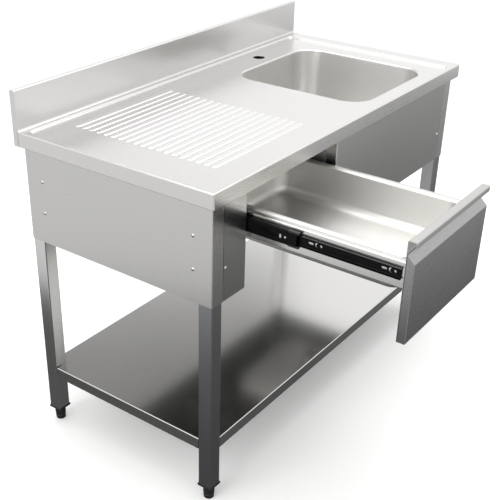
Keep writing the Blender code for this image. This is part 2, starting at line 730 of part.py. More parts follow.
def make_channels():
    """Stiffeners under the drainer, which carry the drawer's hangers, and one under the shelf."""
    left = PANEL_X[-1] + PANEL_SHEET + GAP
    right = BOWL_X - BOWL_WIDTH / 2 - BOWL_FLANGE - CHANNEL_FLANGE
    places = {
        "deck_channel_front": FRONT_Y + DECK_CHANNEL_FROM_FRONT,
        "deck_channel_rear": BACK_Y - DECK_CHANNEL_FROM_REAR,
    }
    for name, y in places.items():
        outline = channel_outline(y, DECK_UNDER_Z - GAP)
        add_object(name, prism(outline, "X", left, right), "satin stainless")
    middle = (LEG_FRONT_Y + LEG_REAR_Y) / 2
    outline = channel_outline(middle, SHELF_TOP - SHELF_SHEET - GAP)
    bm = prism(outline, "X", LEG_X[-1] + LEG_SIDE, LEG_X[1] - LEG_SIDE)
    add_object("shelf_channel", bm, "satin stainless")


def shelf_outline(inset):
    """The shelf seen from above, notched round the legs."""
    front = LEG_FRONT_Y - LEG_SIDE / 2 + SHELF_INSET + inset
    rear = LEG_REAR_Y + LEG_SIDE / 2 - SHELF_INSET - inset
    clear = LEG_SIDE / 2 + SHELF_NOTCH_CLEARANCE + inset
    notch_front, notch_rear = LEG_FRONT_Y + clear, LEG_REAR_Y - clear
    halves = []
    for side, leg_x in LEG_X.items():
        edge_x = leg_x + side * (LEG_SIDE / 2 - SHELF_INSET - inset)
        notch_x = leg_x - side * clear
        half = [
            (notch_x, front),
            (notch_x, notch_front),
            (edge_x, notch_front),
            (edge_x, notch_rear),
            (notch_x, notch_rear),
            (notch_x, rear),
        ]
        halves.append(half)
    left, right = halves
    return right + left[::-1]


def make_undershelf():
    """A tray, open side down, folded down along every edge."""
    bm = prism(shelf_outline(0), "Z", SHELF_TOP - SHELF_EDGE, SHELF_TOP)
    obj = add_object("undershelf", bm, "satin stainless")
    low = SHELF_TOP - SHELF_EDGE - SHELF_SHEET
    hollow = prism(shelf_outline(SHELF_SHEET), "Z", low, SHELF_TOP - SHELF_SHEET)
    combine(obj, add_object("undershelf hollow", hollow))


# Drawer


def make_drawer_front():
    """The outer skin, chamfered along its top, and the liner behind it that folds over into the handle."""
    half = (OPENING_WIDTH - 2 * FRONT_SIDE_GAP) / 2
    left, right = DRAWER_X - half, DRAWER_X + half
    back, low, sheet = DRAWER_BACK_Y, FRONT_BOTTOM, FRONT_SHEET
    face, skin_back = back - FRONT_THICKNESS, back - sheet - GAP
    shoulder = low + FRONT_HEIGHT
    chamfer_top = shoulder + FRONT_CHAMFER
    outline = [(face, low), (skin_back, low), (skin_back, chamfer_top), (face, shoulder)]
    obj = add_object("drawer_front", prism(outline, "X", left, right), "satin stainless")
    reach = skin_back + sheet
    slope = FRONT_CHAMFER / (skin_back - face)
    skin = [(reach, low), (face, low), (face, shoulder), (reach, shoulder + slope * (reach - face))]
    hollow = prism(offset_path(skin, -sheet), "X", left + sheet, right - sheet)
    combine(obj, add_object("drawer front hollow", hollow))

    path = [(back, low), (back, HANDLE_TOP), (face, HANDLE_TOP), (face, HANDLE_TOP - HANDLE_LIP)]
    add_object("drawer_liner", prism(folded(path, sheet), "X", left, right), "satin stainless")


def make_drawer_frame():
    """Two side rails and a rear rail, whose wide top flanges carry the pan."""
    start = DRAWER_BACK_Y + RAIL_END_CLEARANCE
    end = start + PAN_LENGTH + 2 * PAN_RIM_WIDTH + RAIL_BEYOND_PAN
    low = RAIL_TOP - RAIL_HEIGHT
    reach = PAN_WIDTH / 2 + PAN_SHEET + PAN_CLEARANCE
    for name, side in (("left", -1), ("right", 1)):
        outer, inner = DRAWER_X + side * RAIL_X, DRAWER_X + side * reach
        path = [(inner, low), (outer, low), (outer, RAIL_TOP), (inner, RAIL_TOP)]
        bm = prism(folded(path, side * RAIL_SHEET), "Y", start, end)
        add_object(f"drawer_rail_{name}", bm, "satin stainless")
    inner = start + PAN_RIM_WIDTH + PAN_LENGTH + PAN_SHEET + PAN_CLEARANCE
    path = [(inner, low), (end, low), (end, RAIL_TOP), (inner, RAIL_TOP)]
    half = reach - GAP
    bm = prism(folded(path, RAIL_SHEET), "X", DRAWER_X - half, DRAWER_X + half)
    add_object("drawer_rail_rear", bm, "satin stainless")


def make_pan():
    """The pressed pan, whose turned-down rim rests on the rails."""
    sizes = (PAN_WIDTH, PAN_LENGTH, PAN_DEPTH, PAN_CORNER, PAN_FILLET, PAN_DRAFT)
    inside = tub_rings(*sizes, 0)
    outside = tub_rings(*sizes, PAN_SHEET)

    def rim(grow):
        return rounded_rectangle(PAN_WIDTH + 2 * grow, PAN_LENGTH + 2 * grow, PAN_CORNER / 4 + grow)

    wide, narrow = rim(PAN_RIM_WIDTH), rim(PAN_RIM_WIDTH - PAN_SHEET)
    rings = [*inside[::-1], (wide, 0), (wide, -PAN_RIM_LIP), (narrow, -PAN_RIM_LIP)]
    rings += [(narrow, -PAN_SHEET), *outside]
    middle_y = DRAWER_BACK_Y + RAIL_END_CLEARANCE + PAN_RIM_WIDTH + PAN_LENGTH / 2
    place = (DRAWER_X, middle_y, PAN_RIM_TOP)
    smooth(add_object("drawer_pan", loft(rings), "satin stainless", place))


# Slides


def slide_section(side, web, flange, height, sheet):
    """A C section, as (x, z), from its web to its flanges' ends. side is -1 on the drawer's left.

    web and flange are distances from the hanger's face towards the drawer.
    """
    face = DRAWER_X + side * OPENING_WIDTH / 2
    base, end = face - side * web, face - side * flange
    half = height / 2
    path = [
        (end, SLIDE_CENTRE - half),
        (base, SLIDE_CENTRE - half),
        (base, SLIDE_CENTRE + half),
        (end, SLIDE_CENTRE + half),
    ]
    turn = side if flange > web else -side
    return folded(path, turn * sheet)


def slide_layers():
    """Each layer's web, flange end, height and sheet, from the hanger's face to the rail's."""
    outer_web = GAP
    outer_cage_web = outer_web + SLIDE_SHEET + SLIDE_LAYER
    middle_web = outer_cage_web + CAGE_SHEET + SLIDE_LAYER
    inner_cage_web = middle_web + SLIDE_SHEET + SLIDE_LAYER
    rail_side = GAP + SLIDE_THICKNESS
    mouth = rail_side - SLIDE_SHEET - SLIDE_LAYER
    inner_end = inner_cage_web + CAGE_SHEET + SLIDE_LAYER
    clear = CAGE_CLEARANCE
    outer_bore = SLIDE_OUTER_HEIGHT - 2 * SLIDE_SHEET
    middle_bore = SLIDE_MIDDLE_HEIGHT - 2 * SLIDE_SHEET
    outer_balls = (outer_bore - SLIDE_MIDDLE_HEIGHT) / 2 - 2 * clear
    inner_balls = (middle_bore - SLIDE_INNER_HEIGHT) / 2 - 2 * clear
    return {
        "outer": (outer_web, mouth, SLIDE_OUTER_HEIGHT, SLIDE_SHEET),
        "outer_cage": (outer_cage_web, mouth, outer_bore - 2 * clear, outer_balls),
        "middle": (middle_web, mouth, SLIDE_MIDDLE_HEIGHT, SLIDE_SHEET),
        "inner_cage": (inner_cage_web, mouth, middle_bore - 2 * clear, inner_balls),
        "inner": (rail_side, inner_end, SLIDE_INNER_HEIGHT, SLIDE_SHEET),
    }


def cage_section(side, web, flange, height, balls):
    """A ball cage's C section: a thin web, and flanges as thick as the balls that they hold."""
    face = DRAWER_X + side * OPENING_WIDTH / 2
    base, skin, end = face - side * web, face - side * (web + CAGE_SHEET), face - side * flange
    top, low = SLIDE_CENTRE + height / 2, SLIDE_CENTRE - height / 2
    return [
        (base, low),
        (end, low),
        (end, low + balls),
        (skin, low + balls),
        (skin, top - balls),
        (end, top - balls),
        (end, top),
        (base, top),
    ]


def make_slides():
    """Both telescopic slides, each with its three members and two ball cages."""
    shut = SLIDE_FRONT_Y
    travel = {"outer": 0, "outer_cage": 0.25, "middle": 0.5, "inner_cage": 0.75, "inner": 1}
    starts = {
        "outer": (0, SLIDE_LENGTH),
        "outer_cage": (OUTER_CAGE_SETBACK, CAGE_LENGTH),
        "middle": (SLIDE_MIDDLE_SETBACK, SLIDE_MIDDLE_LENGTH),
        "inner_cage": (INNER_CAGE_SETBACK, CAGE_LENGTH),
        "inner": (0, SLIDE_LENGTH),
    }
    for hand, side in (("left", -1), ("right", 1)):
        for member, (web, flange, height, sheet) in slide_layers().items():
            setback, length = starts[member]
            front = shut + setback - travel[member] * DRAWER_OPEN
            is_cage = member.endswith("cage")
            section = cage_section if is_cage else slide_section
            outline = section(side, web, flange, height, sheet)
            finish = "black plastic" if is_cage else "black zinc"
            name = f"slide_{member}_{hand}"
            obj = add_object(name, prism(outline, "Y", front, front + length), finish)
            if member == "inner":
                drill_slide(obj, side, front)
            if member == "middle":
                add_end_bracket(obj, side, front, outline)


def drill_slide(obj, side, front):
    """The fixing holes along the inner member's web."""
    at = DRAWER_X + side * (OPENING_WIDTH / 2 - GAP - SLIDE_THICKNESS)
    cutter = bmesh.new()
    for setback in SLIDE_HOLE_SETBACKS:
        outline = [(front + setback + a, SLIDE_CENTRE + b) for a, b in circle(SLIDE_HOLE, 12)]
        prism(outline, "X", at - 2 * SLIDE_SHEET, at + 2 * SLIDE_SHEET, cutter)
    combine(obj, add_object(f"{obj.name} holes", cutter))


def add_end_bracket(obj, side, front, outline):
    """The thicker plastic end on the middle member's front."""
    xs = [x for x, _ in outline]
    half = SLIDE_MIDDLE_HEIGHT / 2 + END_BRACKET_PROUD
    inner = SLIDE_INNER_HEIGHT / 2 + 2 * CAGE_CLEARANCE
    for sign, part in ((1, "upper"), (-1, "lower")):
        z = sorted((SLIDE_CENTRE + sign * inner, SLIDE_CENTRE + sign * half))
        low = (min(xs), front - END_BRACKET_LENGTH / 4, z[0])
        high = (max(xs), front + END_BRACKET_LENGTH, z[1])
        combine(obj, add_object(f"{obj.name} {part} end", block(low, high)), "UNION")


def main():
    clear_scene()
    make_worktop()
    make_bowl()
    make_waste()
    for corner, x, y, side, end in corners():
        make_leg(corner, x, y)
        make_corner_bracket(corner, side, end)
    make_side_panel("side_panel_left", -1)
    make_side_panel("side_panel_right", 1)
    make_front_apron()
    make_rear_apron()
    make_hangers()
    make_channels()
    make_undershelf()
    for name, side, place in screw_places():
        make_screw(f"panel_screw_{name}", place, "X", side)
    for name, (_, place) in front_screw_places().items():
        make_screw(f"{name}_screw", place, "Y", -1)
    make_drawer_front()
    make_drawer_frame()
    make_pan()
    make_slides()


main()
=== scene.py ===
"""Stainless sink table with an open pan drawer: its looks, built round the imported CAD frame.

Lengths are in metres, +Z is up and the front faces -Y.
"""

from __future__ import annotations

import logging
import math
from collections.abc import Iterable, Mapping, Sequence
from dataclasses import dataclass
from enum import Enum
from functools import partial
from typing import Any

import bmesh
import bpy
from mathutils import Matrix, Vector


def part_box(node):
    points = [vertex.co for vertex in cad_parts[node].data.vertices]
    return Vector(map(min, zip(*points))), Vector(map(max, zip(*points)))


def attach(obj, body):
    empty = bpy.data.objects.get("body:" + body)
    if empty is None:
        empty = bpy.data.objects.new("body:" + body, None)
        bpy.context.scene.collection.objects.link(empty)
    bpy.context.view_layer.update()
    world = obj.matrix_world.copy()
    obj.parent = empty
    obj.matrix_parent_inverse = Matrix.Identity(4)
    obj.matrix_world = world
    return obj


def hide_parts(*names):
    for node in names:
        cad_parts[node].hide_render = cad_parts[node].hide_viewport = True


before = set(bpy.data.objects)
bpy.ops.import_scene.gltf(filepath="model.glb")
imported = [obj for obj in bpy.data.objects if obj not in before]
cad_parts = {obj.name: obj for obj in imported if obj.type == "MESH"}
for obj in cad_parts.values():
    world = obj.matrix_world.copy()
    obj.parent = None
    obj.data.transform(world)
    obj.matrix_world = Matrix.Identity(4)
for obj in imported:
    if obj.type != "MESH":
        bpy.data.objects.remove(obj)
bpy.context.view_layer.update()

Point = tuple[float, float]
Ring = list[tuple[float, float, float]]
log = logging.getLogger("sink_table")


class Axis(Enum):
    """A direction of the frame, valued by its place in a point."""

    X = 0
    Y = 1
    Z = 2


@dataclass(frozen=True)
class Span:
    """The box that a CAD node fills at rest."""

    x0: float
    y0: float
    z0: float
    x1: float
    y1: float
    z1: float

    def inset(self, amount: float) -> tuple[float, float, float, float]:
        """Its left, right, near and far sides, each moved inwards."""
        return self.x0 + amount, self.x1 - amount, self.y0 + amount, self.y1 - amount

    @property
    def middle_x(self) -> float:
        """The middle along X."""
        return (self.x0 + self.x1) / 2

    @property
    def middle_y(self) -> float:
        """The middle along Y."""
        return (self.y0 + self.y1) / 2

    @property
    def middle_z(self) -> float:
        """The middle along Z."""
        return (self.z0 + self.z1) / 2


def span(node: str) -> Span:
    """Reads the box that a CAD node fills in the frame."""
    low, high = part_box(node)
    return Span(*low, *high)


# Finishes


def linear(colour: str) -> tuple[float, float, float, float]:
    """Turns an sRGB hex colour into the linear one that a shader takes.

    Args:
        colour: Six hex digits after a hash.

    Returns:
        Red, green, blue and an alpha of one.
    """
    channels = [int(colour[i : i + 2], 16) / 255 for i in (1, 3, 5)]
    red, green, blue = (c / 12.92 if c <= 0.04045 else ((c + 0.055) / 1.055) ** 2.4 for c in channels)
    return red, green, blue, 1.0


WHITE = linear("#FFFFFF")


def add_node(
    tree: bpy.types.NodeTree,
    kind: str,
    inputs: Mapping[str | int, Any] | None = None,
    **settings: Any,
) -> bpy.types.Node:
    """Adds one node with its settings, values and links.

    Args:
        tree: The tree that gets the node.
        kind: The node's type.
        inputs: For each input by name or place, its value, or the socket or node whose first output feeds it.
        **settings: Properties of the node itself.

    Returns:
        The new node.
    """
    node = tree.nodes.new(kind)
    for name, value in settings.items():
        setattr(node, name, value)
    for key, value in (inputs or {}).items():
        if isinstance(value, bpy.types.Node):
            value = value.outputs[0]
        if isinstance(value, bpy.types.NodeSocket):
            tree.links.new(value, node.inputs[key])
        else:
            node.inputs[key].default_value = value
    return node


def new_material(name: str) -> tuple[bpy.types.Material, bpy.types.NodeTree, bpy.types.Node]:
    """Makes an empty node material.

    Args:
        name: The material's name.

    Returns:
        The material, its tree and its shader.
    """
    made = bpy.data.materials.new(name)
    made.use_nodes = True
    return made, made.node_tree, made.node_tree.nodes["Principled BSDF"]


def object_place(tree: bpy.types.NodeTree) -> bpy.types.NodeSocket:
    """Where a point is on its object, which stands at the origin."""
    return add_node(tree, "ShaderNodeTexCoord").outputs["Object"]


@dataclass(frozen=True)
class Surface:
    """How a pattern shows on a surface: its two colours, its gloss and its relief."""

    colours: tuple[Sequence[float], Sequence[float]]
    tint_range: Point
    gloss: Point
    gloss_range: Point
    relief: float

    def join(
        self, tree: bpy.types.NodeTree, shader: bpy.types.Node, pattern: bpy.types.Node, height: bpy.types.Node
    ) -> None:
        """Links a pattern to a shader.

        Args:
            tree: The material's tree.
            shader: The shader.
            pattern: What shifts the colour and the gloss.
            height: What the relief follows.
        """
        tint = add_node(tree, "ShaderNodeMapRange", {0: pattern, 1: self.tint_range[0], 2: self.tint_range[1]})
        mix = add_node(
            tree, "ShaderNodeMix", {0: tint, 6: self.colours[0], 7: self.colours[1]}, data_type="RGBA"
        )
        limits = {1: self.gloss_range[0], 2: self.gloss_range[1], 3: self.gloss[0], 4: self.gloss[1]}
        rough = add_node(tree, "ShaderNodeMapRange", {0: pattern, **limits})
        bump = add_node(tree, "ShaderNodeBump", {"Height": height, "Strength": 1.0, "Distance": self.relief})
        for socket, name in (
            (mix.outputs[2], "Base Color"), (rough.outputs[0], "Roughness"), (bump.outputs[0], "Normal"),
        ):
            tree.links.new(socket, shader.inputs[name])


MM = 0.001


@dataclass(frozen=True)
class BrushedSteel:
    """Austenitic stainless sheet, cold rolled and then brushed by a 240-grit belt.

    The belt leaves fine straight scratches along one direction. They blur what the sheet mirrors, and hands and cloths
    leave it a little cloudy in broad patches. Real scratches are 0.05 mm apart, too fine to show, so they are drawn
    line_mm apart.
    """

    name: str
    slot: str
    grain: Axis
    colour: str
    roughness: float
    spread: float = 0.025
    shade: float = 0.012
    line_mm: float = 1.4
    length_mm: float = 110.0
    cloud_mm: float = 190.0
    depth_mm: float = 0.0008
    cloud_share: float = 0.45

    def material(self) -> bpy.types.Material:
        """Builds the node material."""
        made, tree, shader = new_material(self.name)
        where = object_place(tree)
        scale = [1 / (self.line_mm * MM)] * 3
        scale[self.grain.value] = 1 / (self.length_mm * MM)
        stretched = add_node(tree, "ShaderNodeMapping", {"Vector": where, "Scale": scale})
        line_noise = {"Vector": stretched, "Scale": 1.0, "Detail": 3.0, "Roughness": 0.65}
        lines = add_node(tree, "ShaderNodeTexNoise", line_noise)
        cloud_noise = {"Vector": where, "Scale": 1 / (self.cloud_mm * MM), "Detail": 4.0, "Roughness": 0.55}
        clouds = add_node(tree, "ShaderNodeTexNoise", cloud_noise)
        both = add_node(tree, "ShaderNodeMath", {0: clouds, 1: self.cloud_share, 2: lines}, operation="MULTIPLY_ADD")
        red, green, blue, alpha = linear(self.colour)
        dark = [channel * (1 - self.shade) for channel in (red, green, blue)]
        light = [min(1.0, channel * (1 + self.shade)) for channel in (red, green, blue)]
        gloss = (self.roughness - self.spread / 2, self.roughness + self.spread / 2)
        colours = ((*dark, alpha), (*light, alpha))
        usual = (0.50, 0.95)
        Surface(colours, usual, gloss, usual, self.depth_mm * MM).join(tree, shader, both, lines)
        shader.inputs["Metallic"].default_value = 1.0
        return made


@dataclass(frozen=True)
class PlatedSteel:
    """Rolled steel strip, zinc plated and passivated black or clear.

    Plating follows the strip's rolling and dulls it unevenly, so the gloss breaks up in patches of a few millimetres,
    and grease darkens parts of it.
    """

    name: str
    slot: str
    colour: str
    worn: str
    roughness: float = 0.34
    metallic: float = 0.85
    patch_mm: float = 9.0

    def material(self) -> bpy.types.Material:
        """Builds the node material."""
        made, tree, shader = new_material(self.name)
        scale = [1 / (self.patch_mm * MM)] * 3
        scale[Axis.Y.value] /= 5
        stretched = add_node(tree, "ShaderNodeMapping", {"Vector": object_place(tree), "Scale": scale})
        noise = {"Vector": stretched, "Scale": 1.0, "Detail": 5.0, "Roughness": 0.6}
        patches = add_node(tree, "ShaderNodeTexNoise", noise)
        colours = (linear(self.colour), linear(self.worn))
        gloss = (self.roughness - 0.08, self.roughness + 0.12)
        Surface(colours, (0.35, 0.75), gloss, (0.3, 0.7), 0.02 * MM).join(tree, shader, patches, patches)
        shader.inputs["Metallic"].default_value = self.metallic
        return made


@dataclass(frozen=True)
class MouldedPolymer:
    """Injection-moulded polyamide or rubber with a spark-eroded texture.

    The mould's fine pits spread the highlight and the surface is a little lighter on its raised grains. Real pits are
    0.1 mm across, drawn at grain_mm so that they show.
    """

    name: str
    slot: str
    colour: str
    raised: str
    roughness: float = 0.48
    grain_mm: float = 0.7
    ior: float = 1.53

    def material(self) -> bpy.types.Material:
        """Builds the node material."""
        made, tree, shader = new_material(self.name)
        scale = 1 / (self.grain_mm * MM)
        noise = {"Vector": object_place(tree), "Scale": scale, "Detail": 3.0, "Roughness": 0.6}
        grains = add_node(tree, "ShaderNodeTexNoise", noise)
        colours = (linear(self.colour), linear(self.raised))
        gloss = (self.roughness - 0.06, self.roughness + 0.08)
        Surface(colours, (0.35, 0.7), gloss, (0.3, 0.7), 0.03 * MM).join(tree, shader, grains, grains)
        shader.inputs["IOR"].default_value = self.ior
        return made


class Finish(Enum):
    """Every finish on the table, each with the record's slot for it."""

    WORKTOP = BrushedSteel("brushed stainless worktop", "worktop_steel", Axis.X, "#D6D5D3", 0.28)
    RIBS = BrushedSteel("brushed stainless drainer ribs", "worktop_steel", Axis.X, "#DEDDDC", 0.28)
    UPSTAND = BrushedSteel("brushed stainless upstand", "worktop_steel", Axis.X, "#D3D2D1", 0.30, shade=0.03)
    BOWL = BrushedSteel("satin stainless bowl", "bowl_steel", Axis.Z, "#E6E5E3", 0.37, length_mm=25.0, line_mm=3.0)
    PANEL = BrushedSteel("brushed stainless panel", "panel_steel", Axis.Y, "#C9C8C6", 0.28)
    APRON = BrushedSteel("brushed stainless apron", "panel_steel", Axis.X, "#C4C4C2", 0.24)
    LEG = BrushedSteel("brushed stainless leg tube", "leg_steel", Axis.Z, "#D2D2D1", 0.22, shade=0.03)
    # The same leg steel as LEG, with a rougher gloss and its colour darkened as painted shade for the front legs.
    SHADED_LEG = BrushedSteel("stainless leg tube with painted shade", "leg_steel", Axis.Z, "#98999B", 0.38, shade=0.03)
    SHELF = BrushedSteel("brushed stainless undershelf", "shelf_steel", Axis.X, "#D2D1CF", 0.15, shade=0.02)
    # The drawer front's steel colour is darker than the other steel: painted shade for the front face's dark
    # reflection.
    DRAWER = BrushedSteel(
        "brushed stainless drawer front with painted shade", "drawer_steel", Axis.X, "#A0A0A0", 0.28,
        shade=0.04, depth_mm=0.002, length_mm=30.0,
    )
    HANDLE = BrushedSteel("brushed stainless handle", "drawer_steel", Axis.X, "#BEBDBB", 0.26)
    RAIL = BrushedSteel("bright stainless drawer rail", "rail_steel", Axis.Y, "#D2D1CF", 0.22)
    PAN = BrushedSteel("pressed stainless pan", "pan_steel", Axis.Y, "#DDDCD9", 0.46, shade=0.01, spread=0.02)
    INNER = BrushedSteel("mill-finish stainless stiffener", "inner_steel", Axis.X, "#D2D1CE", 0.45, shade=0.04)
    BACK = BrushedSteel("mill-finish stainless back", "panel_steel", Axis.X, "#8E8E8C", 0.34, shade=0.04)
    WASTE = BrushedSteel("turned stainless waste", "waste_steel", Axis.X, "#D6D5D3", 0.20, shade=0.02, length_mm=8.0)
    SCREW = PlatedSteel("bright stainless screw", "screw_steel", "#C9C8C4", "#DAD9D6", 0.24, 1.0, 2.0)
    SLIDE = PlatedSteel("black zinc slide", "slide_zinc", "#0B0B0C", "#1C1C1D")
    RIVET = PlatedSteel("bright steel rivet", "slide_zinc", "#C8C8C6", "#DADAD8", 0.18, 1.0, 3.0)
    CAGE = MouldedPolymer("black polyamide ball cage", "cage_plastic", "#0A0A0B", "#151516", 0.42)
    FOOT = MouldedPolymer("black polyamide foot", "foot_plastic", "#111212", "#1E1F1F", 0.46)
    GASKET = MouldedPolymer("grey nitrile rubber gasket", "gasket_rubber", "#2C2D2D", "#3A3B3B", 0.70)


class Paint:
    """Makes each finish's material once and dresses objects in it."""

    def __init__(self) -> None:
        """Starts with no material made."""
        self._made: dict[Finish, bpy.types.Material] = {}

    def of(self, finish: Finish) -> bpy.types.Material:
        """Gives a finish's material.

        Args:
            finish: The finish wanted.

        Returns:
            Its material, made at the first call.
        """
        if finish not in self._made:
            self._made[finish] = finish.value.material()
        return self._made[finish]

    def dress(self, obj: bpy.types.Object, finish: Finish) -> None:
        """Gives an object one finish all over.

        Args:
            obj: The object.
            finish: Its finish.
        """
        obj.data.materials.clear()
        obj.data.materials.append(self.of(finish))


PAINT = Paint()


# Shapes


def level(outline: Iterable[Point], z: float) -> Ring:
    """Lifts an outline in X and Y to a height."""
    return [(x, y, z) for x, y in outline]


def rounded(
    x0: float, x1: float, y0: float, y1: float, radius: float, steps: int = 6, rear: float | None = None
) -> list[Point]:
    """A rectangle with rounded corners, anticlockwise from its right side.

    Args:
        x0: Left side.
        x1: Right side.
        y0: Near side.
        y1: Far side.
        radius: The corners' radius.
        steps: Edges in each corner.
        rear: The far corners' radius, if it is another.

    Returns:
        The outline.
    """
    points = []
    for corner in range(4):
        bend = radius if corner > 1 or rear is None else rear
        across = x1 - bend if corner in (0, 3) else x0 + bend
        along = y1 - bend if corner < 2 else y0 + bend
        points += arc(across, along, bend, 90 * corner, 90 * corner + 90, steps)
    return points


def circle(x: float, y: float, radius: float, count: int, phase: float = 0.5) -> list[Point]:
    """A circle round x and y, its first point turned on by a phase in points, to match a rounded rectangle's."""
    turns = (2 * math.pi * (i + phase) / count for i in range(count))
    return [(x + radius * math.cos(a), y + radius * math.sin(a)) for a in turns]


def between(near: Sequence[Point], far: Sequence[Point], share: float) -> list[Point]:
    """The outline that lies a share of the way from one to another."""
    return [(a + (c - a) * share, b + (d - b) * share) for (a, b), (c, d) in zip(near, far)]


def filleted(path: Sequence[Point], radii: Sequence[float], steps: int = 4) -> list[Point]:
    """Rounds a path's inner corners.

    Args:
        path: An open path.
        radii: The radius at each point between its ends.
        steps: Edges in each bend.

    Returns:
        The rounded path.
    """
    points = [path[0]]
    for i in range(1, len(path) - 1):
        here = Vector(path[i])
        back, ahead = (Vector(path[j]) - here for j in (i - 1, i + 1))
        back.normalize()
        ahead.normalize()
        half = back.angle(ahead) / 2
        radius = radii[i - 1]
        reach = radius / math.tan(half)
        middle = here + (back + ahead).normalized() * (radius / math.sin(half))
        start, end = ((here + way * reach - middle).normalized() for way in (back, ahead))
        points += [tuple(middle + start.slerp(end, step / steps) * radius) for step in range(steps + 1)]
    points.append(path[-1])
    return points


def beside(path: Sequence[Point], distance: float) -> list[Point]:
    """Moves a path to its left, mitred at each fold.

    Args:
        path: An open path.
        distance: How far it moves.

    Returns:
        The moved path.
    """
    moved = []
    for i, point in enumerate(path):
        normals = []
        for a, b in ((i - 1, i), (i, i + 1)):
            if a >= 0 and b < len(path):
                along = (Vector(path[b]) - Vector(path[a])).normalized()
                normals.append(Vector((-along.y, along.x)))
        total = sum(normals, Vector((0, 0)))
        moved.append(tuple(Vector(point) + total * (distance * len(normals) / total.length_squared)))
    return moved


def folded(path: Sequence[Point], sheet: float, bend: float = 0.0015, steps: int = 4) -> list[Point]:
    """The outline of a sheet folded along a path, with rounded bends.

    Args:
        path: The sheet's one face.
        sheet: Its thickness, on the path's left, or on its right if below zero.
        bend: The radius inside each bend.
        steps: Edges in each bend.

    Returns:
        The closed outline.
    """
    here, there = [], []
    for i in range(1, len(path) - 1):
        before = Vector(path[i]) - Vector(path[i - 1])
        after = Vector(path[i + 1]) - Vector(path[i])
        left_turn = before.x * after.y - before.y * after.x > 0
        inside_here = left_turn != (sheet > 0)
        here.append(bend if inside_here else bend + abs(sheet))
        there.append(bend + abs(sheet) if inside_here else bend)
    return filleted(path, here, steps) + filleted(beside(path, sheet), there, steps)[::-1]


def loft(
    rings: Sequence[Ring],
    bm: bmesh.types.BMesh | None = None,
    caps: tuple[bool, bool] = (True, True),
    loop: bool = False,
) -> bmesh.types.BMesh:
    """Joins rings that have the same number of points.

    Args:
        rings: The rings in order.
        bm: A mesh to add to.
        caps: Whether the first and the last ring are filled.
        loop: Whether the last ring joins the first instead.

    Returns:
        The mesh.
    """
    bm = bm or bmesh.new()
    rows = [[bm.verts.new(point) for point in ring] for ring in rings]
    pairs = list(zip(rows, rows[1:]))
    if loop:
        pairs.append((rows[-1], rows[0]))
    else:
        if caps[0]:
            bm.faces.new(rows[0][::-1])
        if caps[1]:
            bm.faces.new(rows[-1])
    for low, high in pairs:
        for i, vert in enumerate(low):
            nxt = (i + 1) % len(low)
            bm.faces.new((vert, low[nxt], high[nxt], high[i]))
    return bm


def extruded(
    outline: Sequence[Point], axis: Axis, start: float, end: float, bm: bmesh.types.BMesh | None = None
) -> bmesh.types.BMesh:
    """Extrudes a closed outline along an axis.

    Args:
        outline: Points in the other two axes' order.
        axis: The axis.
        start: Where it begins.
        end: Where it ends.
        bm: A mesh to add to.

    Returns:
        The mesh.
    """
    rings = []
    for place in (start, end):
        ring = []
        for point in outline:
            values = list(point)
            values.insert(axis.value, place)
            ring.append(tuple(values))
        rings.append(ring)
    return loft(rings, bm)


def lathed(profile: Sequence[Point], x: float, y: float, count: int = 48) -> bmesh.types.BMesh:
    """Turns a closed profile of radius and height round the upright axis at x and y."""
    return loft([level(circle(x, y, radius, count), z) for radius, z in profile], loop=True)


def arc(x: float, y: float, radius: float, start: float, end: float, steps: int = 5) -> list[Point]:
    """The points of an arc round x and y, in equal steps from the start angle to the end, in degrees."""
    turns = (math.radians(start + (end - start) * i / steps) for i in range(steps + 1))
    return [(x + radius * math.cos(a), y + radius * math.sin(a)) for a in turns]


SMOOTH_UNDER = math.radians(33)


def as_object(name: str, bm: bmesh.types.BMesh) -> bpy.types.Object:
    """Puts a mesh in the scene, with its faces outwards.

    Args:
        name: The object's name.
        bm: The mesh, which is used up.

    Returns:
        The object.
    """
    bmesh.ops.recalc_face_normals(bm, faces=bm.faces)
    mesh = bpy.data.meshes.new(name)
    bm.to_mesh(mesh)
    bm.free()
    obj = bpy.data.objects.new(name, mesh)
    bpy.context.scene.collection.objects.link(obj)
    return obj


def biggest_face(obj: bpy.types.Object) -> bpy.types.MeshPolygon:
    """The face with the largest area."""
    return max(obj.data.polygons, key=lambda face: face.area)


def face_towards(obj: bpy.types.Object, point: Sequence[float]) -> None:
    """Turns an open shell's faces so that its biggest one looks to a point.

    Args:
        obj: The shell.
        point: The point.
    """
    face = biggest_face(obj)
    if face.normal.dot(Vector(point) - face.center) < 0:
        obj.data.flip_normals()


def applied(obj: bpy.types.Object) -> bpy.types.Object:
    """Turns an object's modifiers into its plain mesh.

    Args:
        obj: The object.

    Returns:
        The same object.
    """
    graph = bpy.context.evaluated_depsgraph_get()
    mesh = bpy.data.meshes.new_from_object(obj.evaluated_get(graph), depsgraph=graph)
    old, obj.data = obj.data, mesh
    obj.modifiers.clear()
    mesh.name = obj.name
    bpy.data.meshes.remove(old)
    return obj


def settled(obj: bpy.types.Object) -> bpy.types.Object:
    """Applies the modifiers, then shades bends smooth and keeps flats flat.

    Args:
        obj: The object.

    Returns:
        The same object.
    """
    if obj.modifiers:
        applied(obj)
    obj.data.shade_smooth()
    obj.data.set_sharp_from_angle(angle=SMOOTH_UNDER)
    weighted = obj.modifiers.new("flats stay flat", "WEIGHTED_NORMAL")
    weighted.keep_sharp = True
    return applied(obj)


def thicken(obj: bpy.types.Object, sheet: float) -> None:
    """Gives a shell its thickness, behind its faces.

    Args:
        obj: The shell.
        sheet: The thickness.
    """
    wall = obj.modifiers.new("sheet", "SOLIDIFY")
    wall.thickness = sheet
    wall.offset = -1.0
    wall.use_even_offset = True
    wall.use_quality_normals = True


